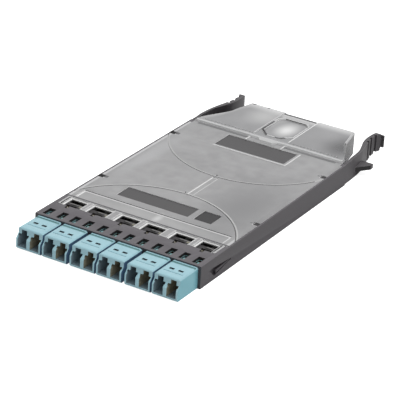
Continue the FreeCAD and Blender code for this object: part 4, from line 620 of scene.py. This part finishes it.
def broken_edge_finish(normal, across, along, down, in_tail):
    """The finish of the cover's broken edges: a painted highlight, dimmer on the tail's right, and
    painted shade where they face backwards in the curved grooves.
    """
    in_groove = not in_tail and -EDGE_RISE < down < PANE_LOW
    if in_groove and on_arcs(ARC_EDGES, across, along) and normal.y > LEANING:
        return SOFT_SHADE_LINE
    if along > STEP_WALLS_END and across > TAIL_EDGE_SIDE and abs(normal.x) > HALFWAY:
        return RIM_HIGHLIGHT
    return EDGE_HIGHLIGHT


def cover_finish(face):
    """The finish of one face of the cover, by its place and by where it looks."""
    place, normal = face.center, face.normal
    across, along, down = place.x / MM, (place.y - rail_front) / MM, (lid_top - place.z) / MM
    looks_up, in_tail = normal.z > STRAIGHT, place.y > tail_front
    if down > SKIRT_DEPTH:
        if in_tail and normal.x > SKIRT_FACING and across > SKIRT_SIDE:
            return next(finish for limit, finish in RIGHT_SKIRT if along < limit)
        return SKIRT if in_tail else LID
    # Painted highlights on the lips in the front windows.
    if down > PANE_LOW and looks_up and along < LID_FRONT:
        return EDGE_HIGHLIGHT
    if face.material_index == EDGE_HIGHLIGHT:
        return broken_edge_finish(normal, across, along, down, in_tail)
    plain = TAIL if in_tail else LID
    if not looks_up:
        return wall_finish(normal, across, along, in_tail) if normal.z > -HALFWAY else plain
    if PANE_HIGH < down < PANE_LOW:
        plain = marked(PANES, across, along, plain)
    if on_lid(face) and not in_tail:
        return marked(LID_MARKS, across, along, plain)
    # Painted highlights on the channel's sides and the bead's top; painted shade in the rear
    # notches and at the channel's rear end.
    if in_tail and CHANNEL_INNER < abs(across) < CHANNEL_OUTER:
        return EDGE_HIGHLIGHT if across > 0 else RIM_HIGHLIGHT
    if on_tail(face) and along < BEAD_END:
        return RIM_HIGHLIGHT
    in_rear_mark = along > REAR_STRIP and any(left < across < end for left, end in REAR_MARKS)
    if on_tail(face) and in_rear_mark or on_channel(face) and along > PORT_STRIP:
        return SHADE_LINE
    # A painted highlight on the pips' tops.
    return EDGE_HIGHLIGHT if on_pip(face) and not in_tail else plain


for face in cover.data.polygons:
    face.material_index = cover_finish(face)

# Painted highlights as bands inside the edges of the skirt, the sunk panel, the strap and the
# fingers' tops.
framed(cover, lambda face: face.normal.x > STRAIGHT and face.center.y > behind(BEND_END)
       and face.material_index == SKIRT, width=0.4, finish=RIM_HIGHLIGHT)
framed(cover, on_panel, width=0.75, finish=EDGE_HIGHLIGHT)
framed(cover, lambda face: on_strap(face) and face.material_index == LID, width=0.4, finish=EDGE_HIGHLIGHT)
framed(cover, lambda face: on_lid(face) and face.center.y < behind(LID_FRONT),
       width=0.5, finish=RIM_HIGHLIGHT)

# The ring round the dish has painted shade at its front corners and a painted highlight
# elsewhere.
scored(cover, on_ring, across=(RING_TURN_RIGHT * MM, RING_TURN_LEFT * MM))
scored(cover, on_ring, along=(behind(RING_SHADE_RIGHT), behind(RING_SHADE_LEFT)))
for face in filter(on_ring, cover.data.polygons):
    across, place = face.center.x / MM, face.center.y
    in_shade = across > RING_TURN_RIGHT and place < behind(RING_SHADE_RIGHT) \
        or across < RING_TURN_LEFT and place < behind(RING_SHADE_LEFT)
    face.material_index = DARK_PANE_AND_SHADE if in_shade else RIM_HIGHLIGHT

# Painted glare and painted shade on the tail and the lid, in the order in which they lie on
# each other: middle, reach, colour, strength and turn.
TAIL_PAINTED_LIGHT = (
    ((-14.5, 149, 11), (12, 15, 50), (0.52, 0.52, 0.52), 0.95, 0),
    ((-33, 144, 11), (4.5, 24, 50), (0.62, 0.62, 0.62), 0.9, -17),
    ((33, 141, 11), (15, 19, 50), (0.075, 0.075, 0.08), 0.95, 0),
    ((0, 160.5, 11), (80, 8.5, 50), (0.78, 0.78, 0.78), 1.0, 0),
    ((1, 143, 11), (7, 11, 50), (0.86, 0.86, 0.86), 0.95, 0),
)
LID_PAINTED_LIGHT = (
    ((27, 58, 10), (26, 50, 50), (0.215, 0.215, 0.22), 0.9, 0),
    ((0, 27, 10), (52, 7, 50), (0.42, 0.42, 0.42), 0.7, 0),
    ((2.5, 28, 10), (2.8, 6, 50), (0.62, 0.62, 0.62), 0.9, 0),
    ((-35, 80, 10), (7, 45, 50), (0.44, 0.44, 0.45), 0.7, 0),
)
for finish, painted_lights in ((clear_tail, TAIL_PAINTED_LIGHT), (frosted_lid, LID_PAINTED_LIGHT)):
    for cloud in painted_lights:
        painted_light_patch(finish, *cloud)

# A painted gleam runs along the rear side of both curved grooves.
ARC_RADIUS, FRONT_ARC_REACH, REAR_ARC_REACH = 44.2, 55.2, 78.6
GLEAM_ASIDE, GLEAM_WIDTH = 0.6, 0.7
painted_gleam_ring(frosted_lid, FRONT_ARC_REACH - ARC_RADIUS, ARC_RADIUS + GLEAM_ASIDE, GLEAM_WIDTH,
          (0.50, 0.50, 0.50))
painted_gleam_ring(frosted_lid, REAR_ARC_REACH + ARC_RADIUS, ARC_RADIUS - GLEAM_ASIDE, GLEAM_WIDTH,
          (0.44, 0.44, 0.44))
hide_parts("cover")
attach(cover, "cassette")


# Inner works: plugs, fibres, ribbon, boots, ferrules and the rear port, clipped or laid in the
# tray under the cover. Only the plugs' beige latch arms show, in the windows behind the bridge.
# They keep the CAD's shapes.
plug_plastic = moulded("plug_plastic", (0.46, 0.43, 0.35), 0.4, grain=0.1)
buffer_skin = moulded("buffer_skin", (0.20, 0.42, 0.46), 0.4, grain=0.1)
boot_rubber = moulded("boot_rubber", (0.32, 0.32, 0.31), 0.6)
ceramic = moulded("ceramic", (0.80, 0.80, 0.77), 0.15, grain=0.02, mottle=0.01)
black_plastic = moulded("black_plastic", (0.03, 0.03, 0.032), 0.45)
pin_steel = moulded("pin_steel", (0.6, 0.6, 0.6), 0.25, grain=0.05)
FIBRES = range(1, 13)
INNER_FINISHES = (
    (["lc_plug_%d" % index for index in FIBRES], plug_plastic),
    (["fibre_%d" % index for index in FIBRES] + ["fibre_ribbon", "mpo_plug"], buffer_skin),
    (["plug_boots"], boot_rubber),
    (["alignment_sleeve_%d" % index for index in FIBRES] + ["ferrules"], ceramic),
    (["fan_out_block", "mpo_adapter", "mpo_boot", "mt_ferrule"], black_plastic),
    (["guide_pins"], pin_steel),
)
for names, finish in INNER_FINISHES:
    for name in names:
        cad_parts[name].data.materials.clear()
        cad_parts[name].data.materials.append(finish)
